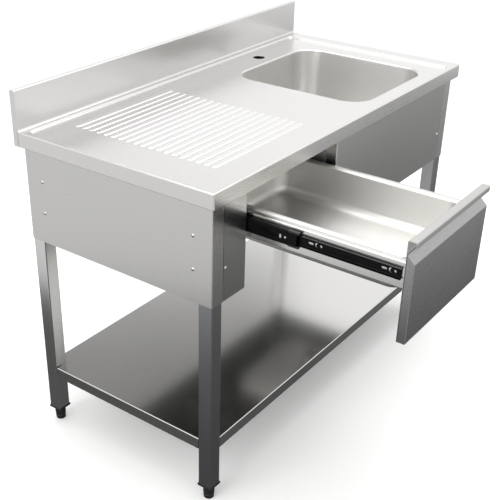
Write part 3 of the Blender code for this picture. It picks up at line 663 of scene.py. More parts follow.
def bevelled(obj: bpy.types.Object, width: float, segments: int) -> None:
    """Rounds an object's hard edges.

    Args:
        obj: The object.
        width: How wide each bevel is.
        segments: Edges in each bevel.
    """
    bevel = obj.modifiers.new("rounded edges", "BEVEL")
    bevel.width = width
    bevel.segments = segments
    bevel.limit_method = "ANGLE"
    bevel.angle_limit = SMOOTH_UNDER
    bevel.harden_normals = False


def cut(obj: bpy.types.Object, cutter: bpy.types.Object) -> None:
    """Cuts one object out of another, and removes the cutter.

    Args:
        obj: What is cut.
        cutter: What cuts it.
    """
    boolean = obj.modifiers.new("cut", "BOOLEAN")
    boolean.object = cutter
    boolean.solver = "EXACT"
    applied(obj)
    bpy.data.objects.remove(cutter)


def fit(shape: bpy.types.Object, body: str, finish: Finish, *nodes: str) -> None:
    """Smooths and dresses a piece, and hangs it on its body.

    Args:
        shape: The piece, its modifiers not applied yet.
        body: The body that it rides on.
        finish: Its finish.
        *nodes: The CAD nodes that it stands for.
    """
    obj = settled(shape)
    PAINT.dress(obj, finish)
    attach(obj, body)
    if nodes:
        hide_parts(*nodes)
    log.info("%s: %d faces on %s", obj.name, len(obj.data.polygons), body)


@dataclass(frozen=True)
class Fold:
    """A sheet's bends and where it runs."""

    sheet: float
    bend: float
    axis: Axis
    start: float
    end: float
    steps: int = 4

    def piece(self, name: str, path: Sequence[Point], body: str, finish: Finish, node: str) -> None:
        """Folds one sheet and fits it.

        Args:
            name: The piece's name.
            path: The sheet's outer face, seen along its axis.
            body: The body that it rides on.
            finish: Its finish.
            node: The CAD node that it stands for.
        """
        outline = folded(path, self.sheet, self.bend, self.steps)
        fit(as_object(name, extruded(outline, self.axis, self.start, self.end)), body, finish, node)


# Geometry Nodes


def new_tree(name: str, sizes: Sequence[str], counts: Sequence[str] = ()) -> tuple[Any, Any]:
    """Starts a Geometry Nodes tree.

    Args:
        name: The tree's name.
        sizes: Its inputs that are lengths.
        counts: Its inputs that are whole numbers.

    Returns:
        The tree and its input node.
    """
    tree = bpy.data.node_groups.new(name, "GeometryNodeTree")
    sockets = tree.interface
    sockets.new_socket("Geometry", in_out="INPUT", socket_type="NodeSocketGeometry")
    for size in sizes:
        sockets.new_socket(size, in_out="INPUT", socket_type="NodeSocketFloat")
    for count in counts:
        sockets.new_socket(count, in_out="INPUT", socket_type="NodeSocketInt")
    sockets.new_socket("Finish", in_out="INPUT", socket_type="NodeSocketMaterial")
    sockets.new_socket("Geometry", in_out="OUTPUT", socket_type="NodeSocketGeometry")
    return tree, add_node(tree, "NodeGroupInput")


def end_tree(tree: Any, given: Any, geometry: bpy.types.Node) -> None:
    """Ends a tree with real meshes in the given finish.

    Args:
        tree: The tree.
        given: Its input node.
        geometry: What makes its last instances.
    """
    real = add_node(tree, "GeometryNodeRealizeInstances", {"Geometry": geometry})
    finish = given.outputs["Finish"]
    painted = add_node(tree, "GeometryNodeSetMaterial", {"Geometry": real, "Material": finish})
    add_node(tree, "NodeGroupOutput", {"Geometry": painted})


def grown(
    name: str,
    tree: Any,
    values: Mapping[str, Any],
    finish: Finish,
    points: Sequence[Sequence[float]] = (),
    facings: Sequence[Sequence[float]] = (),
) -> bpy.types.Object:
    """Runs a tree on a new object and keeps the mesh that it makes.

    Args:
        name: The object's name.
        tree: The Geometry Nodes tree.
        values: A value for each named input.
        finish: The finish of what it makes.
        points: Where the tree puts its copies, if it reads the object's own points.
        facings: The way that each point's copy faces.

    Returns:
        The object.
    """
    mesh = bpy.data.meshes.new(name)
    mesh.from_pydata(points, [], [])
    if facings:
        attribute = mesh.attributes.new("facing", "FLOAT_VECTOR", "POINT")
        attribute.data.foreach_set("vector", [value for facing in facings for value in facing])
    obj = bpy.data.objects.new(name, mesh)
    bpy.context.scene.collection.objects.link(obj)
    modifier = obj.modifiers.new(tree.name, "NODES")
    modifier.node_group = tree
    given = {**values, "Finish": PAINT.of(finish)}
    for item in tree.interface.items_tree:
        if item.in_out == "INPUT" and item.name in given:
            modifier[item.identifier] = given[item.name]
    return applied(obj)


# Worktop


@dataclass
class Worktop:
    """The folded worktop: a sunk field in a raised rim, its fascia, upstand, drainer and holes."""

    sheet: float = 0.0015
    bend: float = 0.0030
    upstand: float = 0.016
    height: float = 0.840
    field_drop: float = 0.004
    field_slope: float = 0.0042
    rim_left: float = 0.015
    rim_front: float = 0.015
    rim_right: float = 0.050
    rim_rear: float = 0.017
    lap_inset: float = 0.0008
    lap_edge: tuple[Point, ...] = ((0.0, -0.001), (0.0, 0.0007), (0.0004, 0.0010))
    lap_end: float = 0.00025
    back_wall: float = 0.0008
    cove: float = 0.006
    upstand_round: float = 0.0030
    upstand_bevel: float = 0.0022
    foot_round: float = 0.002
    corner: float = 0.012
    fascia_corner: float = 0.0045
    fascia_roll: float = 0.0015
    fascia_lip: float = 0.012
    fascia_least: float = 0.0012
    lip_corner: float = 0.002
    square: float = 0.0001
    back_gap: float = 0.0002
    bowl_roll: float = 0.0045
    bowl_flange: float = 0.013
    bowl_corner: float = 0.065
    tap_radius: float = 0.0175
    tap_edge: tuple[Point, ...] = ((0.0008, 0.0), (0.0002, 0.0002), (0.0, 0.0006))
    tap_behind: float = 0.049
    tap_offset: float = 0.008
    rib_count: int = 19
    rib_pitch: float = 0.0231
    rib_width: float = 0.0178
    rib_flank: float = 0.0024
    rib_height: float = 0.0013
    rib_sunk: float = 0.0009
    rib_length: float = 0.366
    rib_left: float = 0.1055
    rib_rear: float = 0.055

    def __post_init__(self) -> None:
        """Takes the places from the CAD."""
        self.box = span("worktop")
        self.bowl = span("bowl")
        self.back = self.box.y1 - self.upstand
        self.field_z = self.height - self.field_drop

    def field(self, grow: float) -> list[Point]:
        """The sunk field's outline at the rim's level.

        Args:
            grow: How far outside it.

        Returns:
            The outline.
        """
        box = self.box
        return rounded(
            box.x0 + self.rim_left - grow,
            box.x1 - self.rim_right + grow,
            box.y0 + self.rim_front - grow,
            self.back - self.rim_rear + grow,
            self.corner + grow,
        )

    def deck_rings(self) -> list[Ring]:
        """The rings from the field's floor over the rim and down the fascia, whose far corners stay square."""
        slope, drop, bend = self.field_slope, self.field_drop, self.bend
        rings = []
        for share in (0.0, 0.08, 0.22, 0.5, 0.78, 0.92, 1.0):
            eased = share * share * (3 - 2 * share)
            rings.append(level(self.field(-slope * (1 - share)), self.field_z + drop * eased))
        box, roll = self.box, self.fascia_roll
        rounds = [(bend - x, self.height - bend + z, self.fascia_least) for x, z in arc(0, 0, bend, 90, 0)]
        rounds += [(roll - x, box.z0 + roll + z, 0.0) for x, z in arc(0, 0, roll, 0, -90, 3)]
        outlines = [(inset, z, max(self.fascia_corner - inset, least)) for inset, z, least in rounds]
        for inset, z, corner in [*outlines, (self.fascia_lip, box.z0, self.lip_corner)]:
            x0, x1, y0, _ = box.inset(inset)
            rings.append(level(rounded(x0, x1, y0, self.back - self.back_gap, corner, rear=self.square), z))
        return rings

    def build(self) -> None:
        """Builds and fits every piece of the worktop."""
        self.build_deck()
        self.build_upstand()
        self.build_ribs()

    def build_deck(self) -> None:
        """The deck, rim and fascia as one sheet, with rolled edges at the bowl and a punched tap hole."""
        bowl, flange, roll = self.bowl, self.bowl_flange, self.bowl_roll
        mouth = []
        for x, z in arc(0, 0, roll, 90, 0, 6):
            outline = rounded(*bowl.inset(flange - (roll - x)), self.bowl_corner + (roll - x), 12)
            mouth.append(level(outline, self.field_z - roll + z))
        tap_x = bowl.middle_x + self.tap_offset
        tap_y = bowl.y1 - flange + self.tap_behind
        tap = []
        for grow, drop in self.tap_edge:
            tap.append(level(circle(tap_x, tap_y, self.tap_radius + grow, 40), self.field_z - drop))

        bm = bmesh.new()
        edges = []
        for rings in (self.deck_rings(), mouth, tap):
            first = len(bm.verts)
            loft(rings, bm, caps=(False, False))
            bm.verts.ensure_lookup_table()
            border = [bm.verts[first + i] for i in range(len(rings[0]))]
            edges += [bm.edges.get(pair) for pair in zip(border, border[1:] + border[:1])]
        bmesh.ops.triangle_fill(bm, edges=edges, use_beauty=True, normal=(0, 0, 1))
        obj = as_object("worktop_deck", bm)
        face_towards(obj, biggest_face(obj).center + Vector((0, 0, 1)))
        thicken(obj, self.sheet)
        fit(obj, "table", Finish.WORKTOP, "worktop")

    def build_upstand(self) -> None:
        """The boxed upstand. Its foot laps the rear ledge and leans back a little, then coves up."""
        box, cove, top, foot = self.box, self.cove, self.upstand_round, self.foot_round
        back, front, height = box.y1, self.back, self.height
        lap = front - self.rim_rear + self.lap_inset
        outline = [(lap + along, height + up) for along, up in self.lap_edge]
        outline += [(front - cove, height + self.lap_end)]
        outline += arc(front - cove, height + cove, cove, -90, 0, 5)[1:]
        outline += arc(front + top, box.z1 - top, top, 180, 90, 5)
        outline += arc(back - top, box.z1 - top, top, 90, 0, 5)
        outline += arc(back - foot, box.z0 + foot, foot, 0, -90, 3)
        outline += [(front + self.back_wall, box.z0), (front + self.back_wall, height + self.lap_edge[0][1])]
        obj = as_object("worktop_upstand", extruded(outline, Axis.X, box.x0, box.x1))
        bevelled(obj, self.upstand_bevel, 3)
        fit(obj, "table", Finish.UPSTAND, "worktop")

    def rib_tree(self) -> Any:
        """The tree that presses a row of low flat bars with rounded ends."""
        bar_sizes = ("Half length", "Half width", "Straight half", "Crown half", "Height", "Sunk")
        tree, given = new_tree("drainer ribs", (*bar_sizes, "Pitch", "Middle", "Rear", "Floor"), ("Count",))
        out = given.outputs
        add = partial(add_node, tree)
        half = {0: out["Half length"], 1: out["Half width"], 2: out["Sunk"]}
        size = add("ShaderNodeVectorMath", {0: add("ShaderNodeCombineXYZ", half), 3: 2.0}, operation="SCALE")
        bar = add("GeometryNodeMeshCube", {"Size": size, "Vertices X": 44, "Vertices Y": 15, "Vertices Z": 2})
        x, y, z = add("ShaderNodeSeparateXYZ", {0: add("GeometryNodeInputPosition")}).outputs
        # A sine crowds the points towards both ends, where the bar is round.
        share = add("ShaderNodeMath", {0: x, 1: out["Half length"]}, operation="DIVIDE")
        quarter = add("ShaderNodeMath", {0: share, 1: math.pi / 2}, operation="MULTIPLY")
        eased = add("ShaderNodeMath", {0: quarter}, operation="SINE")
        along = add("ShaderNodeMath", {0: eased, 1: out["Half length"]}, operation="MULTIPLY")
        flat = add("ShaderNodeCombineXYZ", {0: along, 1: y})
        mirrored = add("ShaderNodeVectorMath", {0: flat}, operation="ABSOLUTE")
        straight = add("ShaderNodeCombineXYZ", {0: out["Straight half"]})
        beyond = add("ShaderNodeVectorMath", {0: mirrored, 1: straight}, operation="SUBTRACT")
        kept = add("ShaderNodeVectorMath", {0: beyond, 1: (0.0, 0.0, 0.0)}, operation="MAXIMUM")
        reach = add("ShaderNodeVectorMath", {0: kept}, operation="LENGTH").outputs["Value"]
        flank = {0: reach, 1: out["Crown half"], 2: out["Half width"], 3: out["Height"], 4: -0.0001}
        lift = add("ShaderNodeCombineXYZ", {2: add("ShaderNodeMapRange", flank, interpolation_type="SMOOTHSTEP")})
        low = add("ShaderNodeCombineXYZ", {2: z})
        shape = bar
        for height, limit, side in ((lift, 0.0, "GREATER_THAN"), (low, -0.0005, "LESS_THAN")):
            place = add("ShaderNodeVectorMath", {0: flat, 1: height}, operation="ADD")
            chosen = add("FunctionNodeCompare", {0: z, 1: limit}, data_type="FLOAT", operation=side)
            shape = add("GeometryNodeSetPosition", {"Geometry": shape, "Selection": chosen, "Position": place})
        start = add("ShaderNodeCombineXYZ", {0: out["Middle"], 1: out["Rear"], 2: out["Floor"]})
        step = add("ShaderNodeCombineXYZ", {1: out["Pitch"]})
        row = add("GeometryNodeMeshLine", {"Count": out["Count"], "Start Location": start, "Offset": step})
        end_tree(tree, given, add("GeometryNodeInstanceOnPoints", {"Points": row, "Instance": shape}))
        return tree

    def build_ribs(self) -> None:
        """The drainer's ribs."""
        half = self.rib_width / 2
        values = {
            "Half length": self.rib_length / 2,
            "Half width": half,
            "Straight half": self.rib_length / 2 - half,
            "Crown half": half - self.rib_flank,
            "Height": self.rib_height,
            "Sunk": self.rib_sunk,
            "Pitch": -self.rib_pitch,
            "Middle": self.box.x0 + self.rim_left + self.rib_left + self.rib_length / 2,
            "Rear": self.back - self.rim_rear - self.rib_rear,
            "Floor": self.field_z,
            "Count": self.rib_count,
        }
        obj = grown("drainer_ribs", self.rib_tree(), values, Finish.RIBS)
        fit(obj, "table", Finish.RIBS, "worktop")


def tub_rings(
    x: Point, y: Point, depth: Point, corner: float, fillet: float, draft: float, steps: int, bends: int
) -> list[Ring]:
    """Rings down a tub's wall and round its bottom edge.

    Args:
        x: Its left and right walls.
        y: Its near and far walls.
        depth: The heights of its top and its floor.
        corner: The radius of its corners.
        fillet: The radius between wall and floor.
        draft: How far each wall leans in.
        steps: Edges in each corner.
        bends: Edges in the fillet.

    Returns:
        The rings, from the top down.
    """
    top, floor = depth
    rings = [level(rounded(*x, *y, corner, steps), top)]
    for bend in range(bends + 1):
        angle = math.pi / 2 * bend / bends
        inwards = draft + fillet * (1 - math.cos(angle))
        z = floor + fillet * (1 - math.sin(angle))
        sides = (x[0] + inwards, x[1] - inwards, y[0] + inwards, y[1] - inwards)
        rings.append(level(rounded(*sides, max(corner - inwards, 0.006), steps), z))
    return rings


@dataclass
class SinkBowl:
    """The pressed bowl and its waste."""

    flange: float = 0.013
    corner: float = 0.065
    fillet: float = 0.030
    draft: float = 0.005
    sheet: float = 0.0012
    fall: float = 0.004
    hole: float = 0.030
    hole_edge: float = 0.0008
    under_deck: float = 0.0002
    waste_rim: float = 0.0012
    waste_lip: float = 0.0022
    waste_mouth: float = 0.0335
    waste_flange: float = 0.0018
    waste_dish: tuple[Point, ...] = ((0.0290, 0.0050), (0.0245, 0.0120), (0.0218, 0.0165), (0.0210, 0.0200))
    roll: float = 0.0045
    field_z: float = 0.836
    depth: float = 0.250

    def build(self) -> None:
        """Builds the bowl and dresses its waste."""
        box = span("bowl")
        x = (box.x0 + self.flange, box.x1 - self.flange)
        y = (box.y0 + self.flange, box.y1 - self.flange)
        floor = self.field_z - self.depth
        top = self.field_z - self.roll + self.under_deck
        rings = tub_rings(x, y, (top, floor), self.corner, self.fillet, self.draft, 12, 8)
        last = [(a, b) for a, b, _ in rings[-1]]
        hole = circle(box.middle_x, box.middle_y, self.hole, len(last))
        for share in (0.12, 0.3, 0.55, 0.8, 0.93, 1.0):
            rings.append(level(between(last, hole, share), floor - self.fall * share))
        rings.append(level(hole, floor - self.fall - self.hole_edge))
        obj = as_object("sink_bowl", loft(rings, caps=(False, False)))
        face_towards(obj, (box.middle_x, box.middle_y, floor + self.depth / 2))
        thicken(obj, self.sheet)
        fit(obj, "table", Finish.BOWL, "bowl")
        self.build_waste(box.middle_x, box.middle_y)

    def build_waste(self, x: float, y: float) -> None:
        """The waste's dished flange, with a turned and rounded rim.

        Args:
            x: Its middle across.
            y: Its middle along.
        """
        box = span("waste_flange")
        outer, top = (box.x1 - box.x0) / 2, box.z1
        rim, lip, under = self.waste_rim, self.waste_lip, top - self.waste_flange
        profile = [(outer - rim / 2, under), *arc(outer - rim, top - rim, rim, 0, 90, 4)]
        profile += arc(self.waste_mouth, top - lip, lip, 90, 130, 2)
        profile += [(radius, top - depth) for radius, depth in self.waste_dish]
        inner, outside = self.waste_dish[-1][0], self.waste_dish[0][0]
        profile += [(inner, box.z0), (outside, box.z0), (outside, under)]
        flange = as_object("waste_dish", lathed(profile, x, y))
        fit(flange, "table", Finish.WASTE, "waste_flange")


# Frame, panels and feet


CORNERS = ("front_left", "front_right", "rear_left", "rear_right")
HANDS = (("left", -1), ("right", 1))


@dataclass
class LegsAndFeet:
    """Four square tubes, each on a moulded insert and a screw foot."""

    corner: float = 0.0035
    insert_corner: float = 0.0040
    insert_gap: float = 0.0003
    plug_wall: float = 0.0019
    plug_corner: float = 0.0015
    insert_edge: tuple[Point, ...] = ((0.0014, 0.0), (0.0004, 0.0004), (0.0, 0.0014))
    insert_top: tuple[Point, ...] = ((0.0, -0.0010), (0.0004, -0.0002), (0.0012, 0.0))
    pad_inset: float = 0.0020
    pad_round: float = 0.0022
    groove: tuple[Point, ...] = ((0.0006, 0.0110), (-0.0004, 0.0120), (-0.0004, 0.0135), (0.0009, 0.0145))
    collar_round: float = 0.0015
    hollow: tuple[Point, ...] = ((0.0105, 0.0012), (0.0110, 0.0))
    neck: float = 0.0050
    stud_tip: float = 0.001
    axis_gap: float = 0.0004
    collar_top: float = 0.0397

    def build(self) -> None:
        """Builds every leg, insert and foot."""
        for corner in CORNERS:
            self.build_leg(corner)
            self.build_insert(corner)
            self.build_foot(corner)

    def build_leg(self, corner: str) -> None:
        """A tube with soft corners.

        Args:
            corner: Which leg it is.
        """
        node = f"leg_{corner}"
        box = span(node)
        rings = [level(rounded(*box.inset(0), self.corner, 5), z) for z in (box.z0, box.z1)]
        obj = as_object(f"leg_tube_{corner}", loft(rings))
        # The front legs get the leg steel with its colour darkened as painted shade.
        finish = Finish.SHADED_LEG if "front" in corner else Finish.LEG
        fit(obj, "table", finish, node)

    def build_insert(self, corner: str) -> None:
        """The plate that closes the tube's end, with softened edges.

        Args:
            corner: Which leg it is in.
        """
        node = f"leg_insert_{corner}"
        box = span(node)
        leg = span(f"leg_{corner}")
        low, top = box.z0, leg.z0 - self.insert_gap
        edges = [(inset, low + up) for inset, up in self.insert_edge]
        edges += [(inset, top + up) for inset, up in self.insert_top]
        rings = [level(rounded(*box.inset(inset), self.insert_corner - inset / 2, 5), z) for inset, z in edges]
        plug = rounded(*leg.inset(self.plug_wall), self.plug_corner, 5)
        rings += [level(plug, top), level(plug, box.z1)]
        obj = as_object(f"leg_plug_{corner}", loft(rings))
        fit(obj, "table", Finish.FOOT, node)

    def build_foot(self, corner: str) -> None:
        """The foot: a tapered pad with a grooved collar on its stud.

        Args:
            corner: Which leg it is under.
        """
        node = f"foot_{corner}"
        box = span(node)
        top, outer = self.collar_top, (box.x1 - box.x0) / 2
        pad, bend, collar = outer - self.pad_inset, self.pad_round, self.collar_round
        profile = [(radius, box.z0 + up) for radius, up in self.hollow]
        profile += arc(pad - bend, box.z0 + bend, bend, -90, 0, 4)
        profile += [(pad + out, z) for out, z in self.groove]
        profile += arc(outer - collar, top - collar, collar, 0, 90, 4)
        profile += [(self.neck, top), (self.neck, box.z1 - self.stud_tip), (self.neck - self.stud_tip, box.z1)]
        profile += [(self.axis_gap, box.z1), (self.axis_gap, profile[0][1])]
        obj = as_object(f"foot_pad_{corner}", lathed(profile, box.middle_x, box.middle_y, 40))
        fit(obj, f"foot_{corner}_body", Finish.FOOT, node)


@dataclass
class Cladding:
    """The folded panels round the frame, what hangs the drawer, and the screws."""

    sheet: float = 0.0012
    bracket_sheet: float = 0.0020
    bend: float = 0.0013
    leg_cover: float = 0.0395
    apron_return: float = 0.028
    bracket_arm: float = 0.026
    bracket_tab: float = 0.020
    channel_flange: float = 0.018
    gap: float = 0.0003
    seam: float = 0.0010
    head_radius: float = 0.0047
    head_height: float = 0.0022
    recess: float = 0.0011

    def __post_init__(self) -> None:
        """Takes the places from the CAD."""
        self.left = span("side_panel_left")
        self.right = span("side_panel_right")

    def panel(
        self, name: str, node: str, path: Sequence[Point], axis: Axis, side: int, finish: Finish, sheet: float = 0.0
    ) -> None:
        """Folds one sheet as long as its CAD node and fits it.

        Args:
            name: The piece's name.
            node: The CAD node that it stands for.
            path: The sheet's outer face, seen along the axis.
            axis: The axis that it runs along.
            side: 1 if the sheet lies on the path's left, -1 on its right.
            finish: Its finish.
            sheet: Its thickness, if it isn't the panels'.
        """
        low, high = (corner[axis.value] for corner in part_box(node))
        Fold(side * (sheet or self.sheet), self.bend, axis, low, high).piece(name, path, "table", finish, node)

    def build(self) -> None:
        """Builds every panel, hanger, bracket, stiffener and screw."""
        self.build_sides()
        self.build_aprons()
        self.build_hangers()
        self.build_brackets()
        self.build_channels()
        self.build_screws()

    def build_sides(self) -> None:
        """The side panels, each wrapped round both its legs."""
        for (hand, side), box in zip(HANDS, (self.left, self.right)):
            face, inner = (box.x0, box.x1) if side < 0 else (box.x1, box.x0)
            path = [(inner, box.y0), (face, box.y0), (face, box.y1), (inner, box.y1)]
            self.panel(f"side_cladding_{hand}", f"side_panel_{hand}", path, Axis.Z, side, Finish.PANEL)

    def build_aprons(self) -> None:
        """The apron in front of the bowl, its hem, and the apron along the back."""
        box = span("front_apron")
        path = [(box.x0, box.y1), (box.x0, box.y0), (box.x1, box.y0)]
        self.panel("bowl_apron", "front_apron", path, Axis.Z, 1, Finish.APRON)
        hem = Fold(-self.sheet, self.bend, Axis.X, box.x0 + self.sheet, box.x1)
        path = [(box.y0 + self.apron_return / 2, box.z0), (box.y0 + self.sheet / 2, box.z0)]
        hem.piece("bowl_apron_hem", path, "table", Finish.APRON, "front_apron")
        rear = span("rear_apron")
        path = [(rear.y1, rear.z1), (rear.y1, rear.z0), (rear.y0, rear.z0)]
        self.panel("back_apron", "rear_apron", path, Axis.X, -1, Finish.BACK)

    def build_hangers(self) -> None:
        """The stile folded back into the left hanger, and the flanged right hanger."""
        box = span("drawer_hanger_left")
        path = [(box.x0 + self.seam, box.y0), (box.x1, box.y0), (box.x1, box.y1)]
        self.panel("drawer_stile", "drawer_hanger_left", path, Axis.Z, 1, Finish.APRON)
        box = span("drawer_hanger_right")
        path = [(box.x0, box.z0), (box.x0, box.z1), (box.x1, box.z1)]
        self.panel("drawer_side_hanger", "drawer_hanger_right", path, Axis.Y, -1, Finish.INNER)

    def build_brackets(self) -> None:
        """The corner brackets folded round the legs."""
        for corner in CORNERS:
            node = f"corner_bracket_{corner}"
            side = 1 if "right" in corner else -1
            end = 1 if "rear" in corner else -1
            panel = self.right if side > 0 else self.left
            panel_x = panel.x1 if side > 0 else panel.x0
            panel_y = panel.y1 if end > 0 else panel.y0
            near, far = self.sheet + self.gap, self.leg_cover + self.gap
            folds = [(near, far + self.bracket_arm), (near, far), (far, far), (far, near)]
            folds += [(far + self.bracket_tab, near)]
            path = [(panel_x - side * across, panel_y - end * along) for across, along in folds]
            name = f"leg_bracket_{corner}"
            self.panel(name, node, path, Axis.Z, side * end, Finish.INNER, self.bracket_sheet)

    def build_channels(self) -> None:
        """The hat-section stiffeners under the deck and the shelf."""
        for node in ("deck_channel_front", "deck_channel_rear", "shelf_channel"):
            box = span(node)
            near, far, low = box.y0 + self.channel_flange, box.y1 - self.channel_flange, box.z0 + self.sheet
            path = [(box.y0, box.z1), (near, box.z1), (near, low), (far, low), (far, box.z1), (box.y1, box.z1)]
            self.panel(f"{node}_section", node, path, Axis.X, -1, Finish.INNER)

    def screw_tree(self) -> Any:
        """The tree that puts a domed head with a cross recess at each point, turned along its facing."""
        tree, given = new_tree("panel screws", ("Radius", "Height", "Recess"))
        out = given.outputs
        add = partial(add_node, tree)
        ball = add("GeometryNodeMeshUVSphere", {"Segments": 20, "Rings": 12, "Radius": 1.0})
        cut_off = {0: add("GeometryNodeInputPosition"), 1: (-1.0, -1.0, 0.0)}
        upper = add("ShaderNodeVectorMath", cut_off, operation="MAXIMUM")
        size = add("ShaderNodeCombineXYZ", {0: out["Radius"], 1: out["Radius"], 2: out["Height"]})
        domed = add("ShaderNodeVectorMath", {0: upper, 1: size}, operation="MULTIPLY")
        head = add("GeometryNodeSetPosition", {"Geometry": ball, "Position": domed})
        merged = add("GeometryNodeMergeByDistance", {"Geometry": head, "Distance": 1e-5})
        joined = add("GeometryNodeMeshBoolean", operation="UNION")
        for across, along in (("Radius", "Recess"), ("Recess", "Radius")):
            size = add("ShaderNodeCombineXYZ", {0: out[across], 1: out[along], 2: out["Height"]})
            arm = add("GeometryNodeMeshCube", {"Size": size})
            tree.links.new(arm.outputs["Mesh"], joined.inputs[1])
        up = add("ShaderNodeCombineXYZ", {2: out["Height"]})
        lifted = add("GeometryNodeTransform", {"Geometry": joined, "Translation": up})
        headed = add("GeometryNodeMeshBoolean", {0: merged, 1: lifted}, operation="DIFFERENCE")
        facing = add("GeometryNodeInputNamedAttribute", {"Name": "facing"}, data_type="FLOAT_VECTOR")
        turned = add("FunctionNodeAlignRotationToVector", {"Vector": facing}, axis="Z")
        copies = {"Points": given, "Instance": headed, "Rotation": turned}
        end_tree(tree, given, add("GeometryNodeInstanceOnPoints", copies))
        return tree

    def build_screws(self) -> None:
        """All the panel screws' heads as one mesh."""
        nodes = [f"panel_screw_{corner}_{row}" for corner in CORNERS for row in ("lower", "upper")]
        places, facings = [], []
        for node in nodes:
            box = span(node)
            side = 1 if "right" in node else -1
            face = self.right.x1 if side > 0 else self.left.x0
            places.append((face, box.middle_y, box.middle_z))
            facings.append((side, 0.0, 0.0))
        for node in ("stile_screw", "apron_screw"):
            box = span(node)
            places.append((box.middle_x, self.left.y0, box.middle_z))
            facings.append((0.0, -1.0, 0.0))
            nodes.append(node)
        values = {"Radius": self.head_radius, "Height": self.head_height, "Recess": self.recess}
        obj = grown("panel_screw_heads", self.screw_tree(), values, Finish.SCREW, places, facings)
        fit(obj, "table", Finish.SCREW, *nodes)


@dataclass
class Undershelf:
    """A tray, open side down, notched round the legs."""

    bend: float = 0.0028
    sheet: float = 0.0012
    clear: float = 0.001

    def build(self) -> None:
        """Builds the shelf."""
        box = span("undershelf")
        left, right = span("leg_front_left"), span("leg_rear_right")
        x_left, x_right = left.x1 + self.clear, right.x0 - self.clear
        y_near, y_far = left.y1 + self.clear, right.y0 - self.clear
        outline = [
            (x_right, box.y0), (x_right, y_near), (box.x1, y_near), (box.x1, y_far), (x_right, y_far),
            (x_right, box.y1), (x_left, box.y1), (x_left, y_far), (box.x0, y_far), (box.x0, y_near),
            (x_left, y_near), (x_left, box.y0),
        ]
        bm = bmesh.new()
        top = [bm.verts.new((x, y, box.z1)) for x, y in outline]
        low = [bm.verts.new((x, y, box.z0)) for x, y in outline]
        bm.faces.new(top)
        rim = []
        for i, vert in enumerate(top):
            nxt = (i + 1) % len(top)
            bm.faces.new((vert, low[i], low[nxt], top[nxt]))
            rim.append(bm.edges.get((vert, top[nxt])))
        bmesh.ops.bevel(bm, geom=rim, offset=self.bend, segments=4, affect="EDGES", profile=0.5)
        obj = as_object("undershelf_tray", bm)
        face_towards(obj, biggest_face(obj).center + Vector((0, 0, 1)))
        thicken(obj, self.sheet)
        fit(obj, "table", Finish.SHELF, "undershelf")


# Drawer


@dataclass
class DrawerFront:
    """The chamfered outer skin and the liner that folds over into the handle."""

    chamfer: float = 0.018
    sheet: float = 0.0012
    lip: float = 0.0135
    edge: float = 0.0013
    bend: float = 0.0016

    def build(self) -> None:
        """Builds the skin and the liner."""
        skin, liner = span("drawer_front"), span("drawer_liner")
        slope = skin.z1 - self.chamfer
        outline = [(skin.y0, skin.z0), (skin.y1, skin.z0), (skin.y1, skin.z1), (skin.y0, slope)]
        obj = as_object("drawer_front_skin", extruded(outline, Axis.X, skin.x0, skin.x1))
        bevelled(obj, self.edge, 3)
        fit(obj, "drawer", Finish.DRAWER, "drawer_front")

        back = liner.y1
        path = [(back, liner.z0), (back, liner.z1), (liner.y0, liner.z1), (liner.y0, liner.z1 - self.lip)]
        fold = Fold(self.sheet, self.bend, Axis.X, liner.x0, liner.x1, 5)
        fold.piece("drawer_handle_liner", path, "drawer", Finish.HANDLE, "drawer_liner")


@dataclass
class DrawerFrame:
    """The rails that carry the pan."""

    sheet: float = 0.0012
    bend: float = 0.0014

    def build(self) -> None:
        """Builds the three rails."""
        for hand, side in HANDS:
            node = f"drawer_rail_{hand}"
            box = span(node)
            outer, inner = (box.x0, box.x1) if side < 0 else (box.x1, box.x0)
            path = [(inner, box.z0), (outer, box.z0), (outer, box.z1), (inner, box.z1)]
            fold = Fold(side * self.sheet, self.bend, Axis.Y, box.y0, box.y1)
            fold.piece(f"drawer_side_rail_{hand}", path, "drawer", Finish.RAIL, node)
        box = span("drawer_rail_rear")
        path = [(box.y0, box.z0), (box.y1, box.z0), (box.y1, box.z1), (box.y0, box.z1)]
        fold = Fold(self.sheet, self.bend, Axis.X, box.x0, box.x1)
        fold.piece("drawer_back_rail", path, "drawer", Finish.RAIL, "drawer_rail_rear")


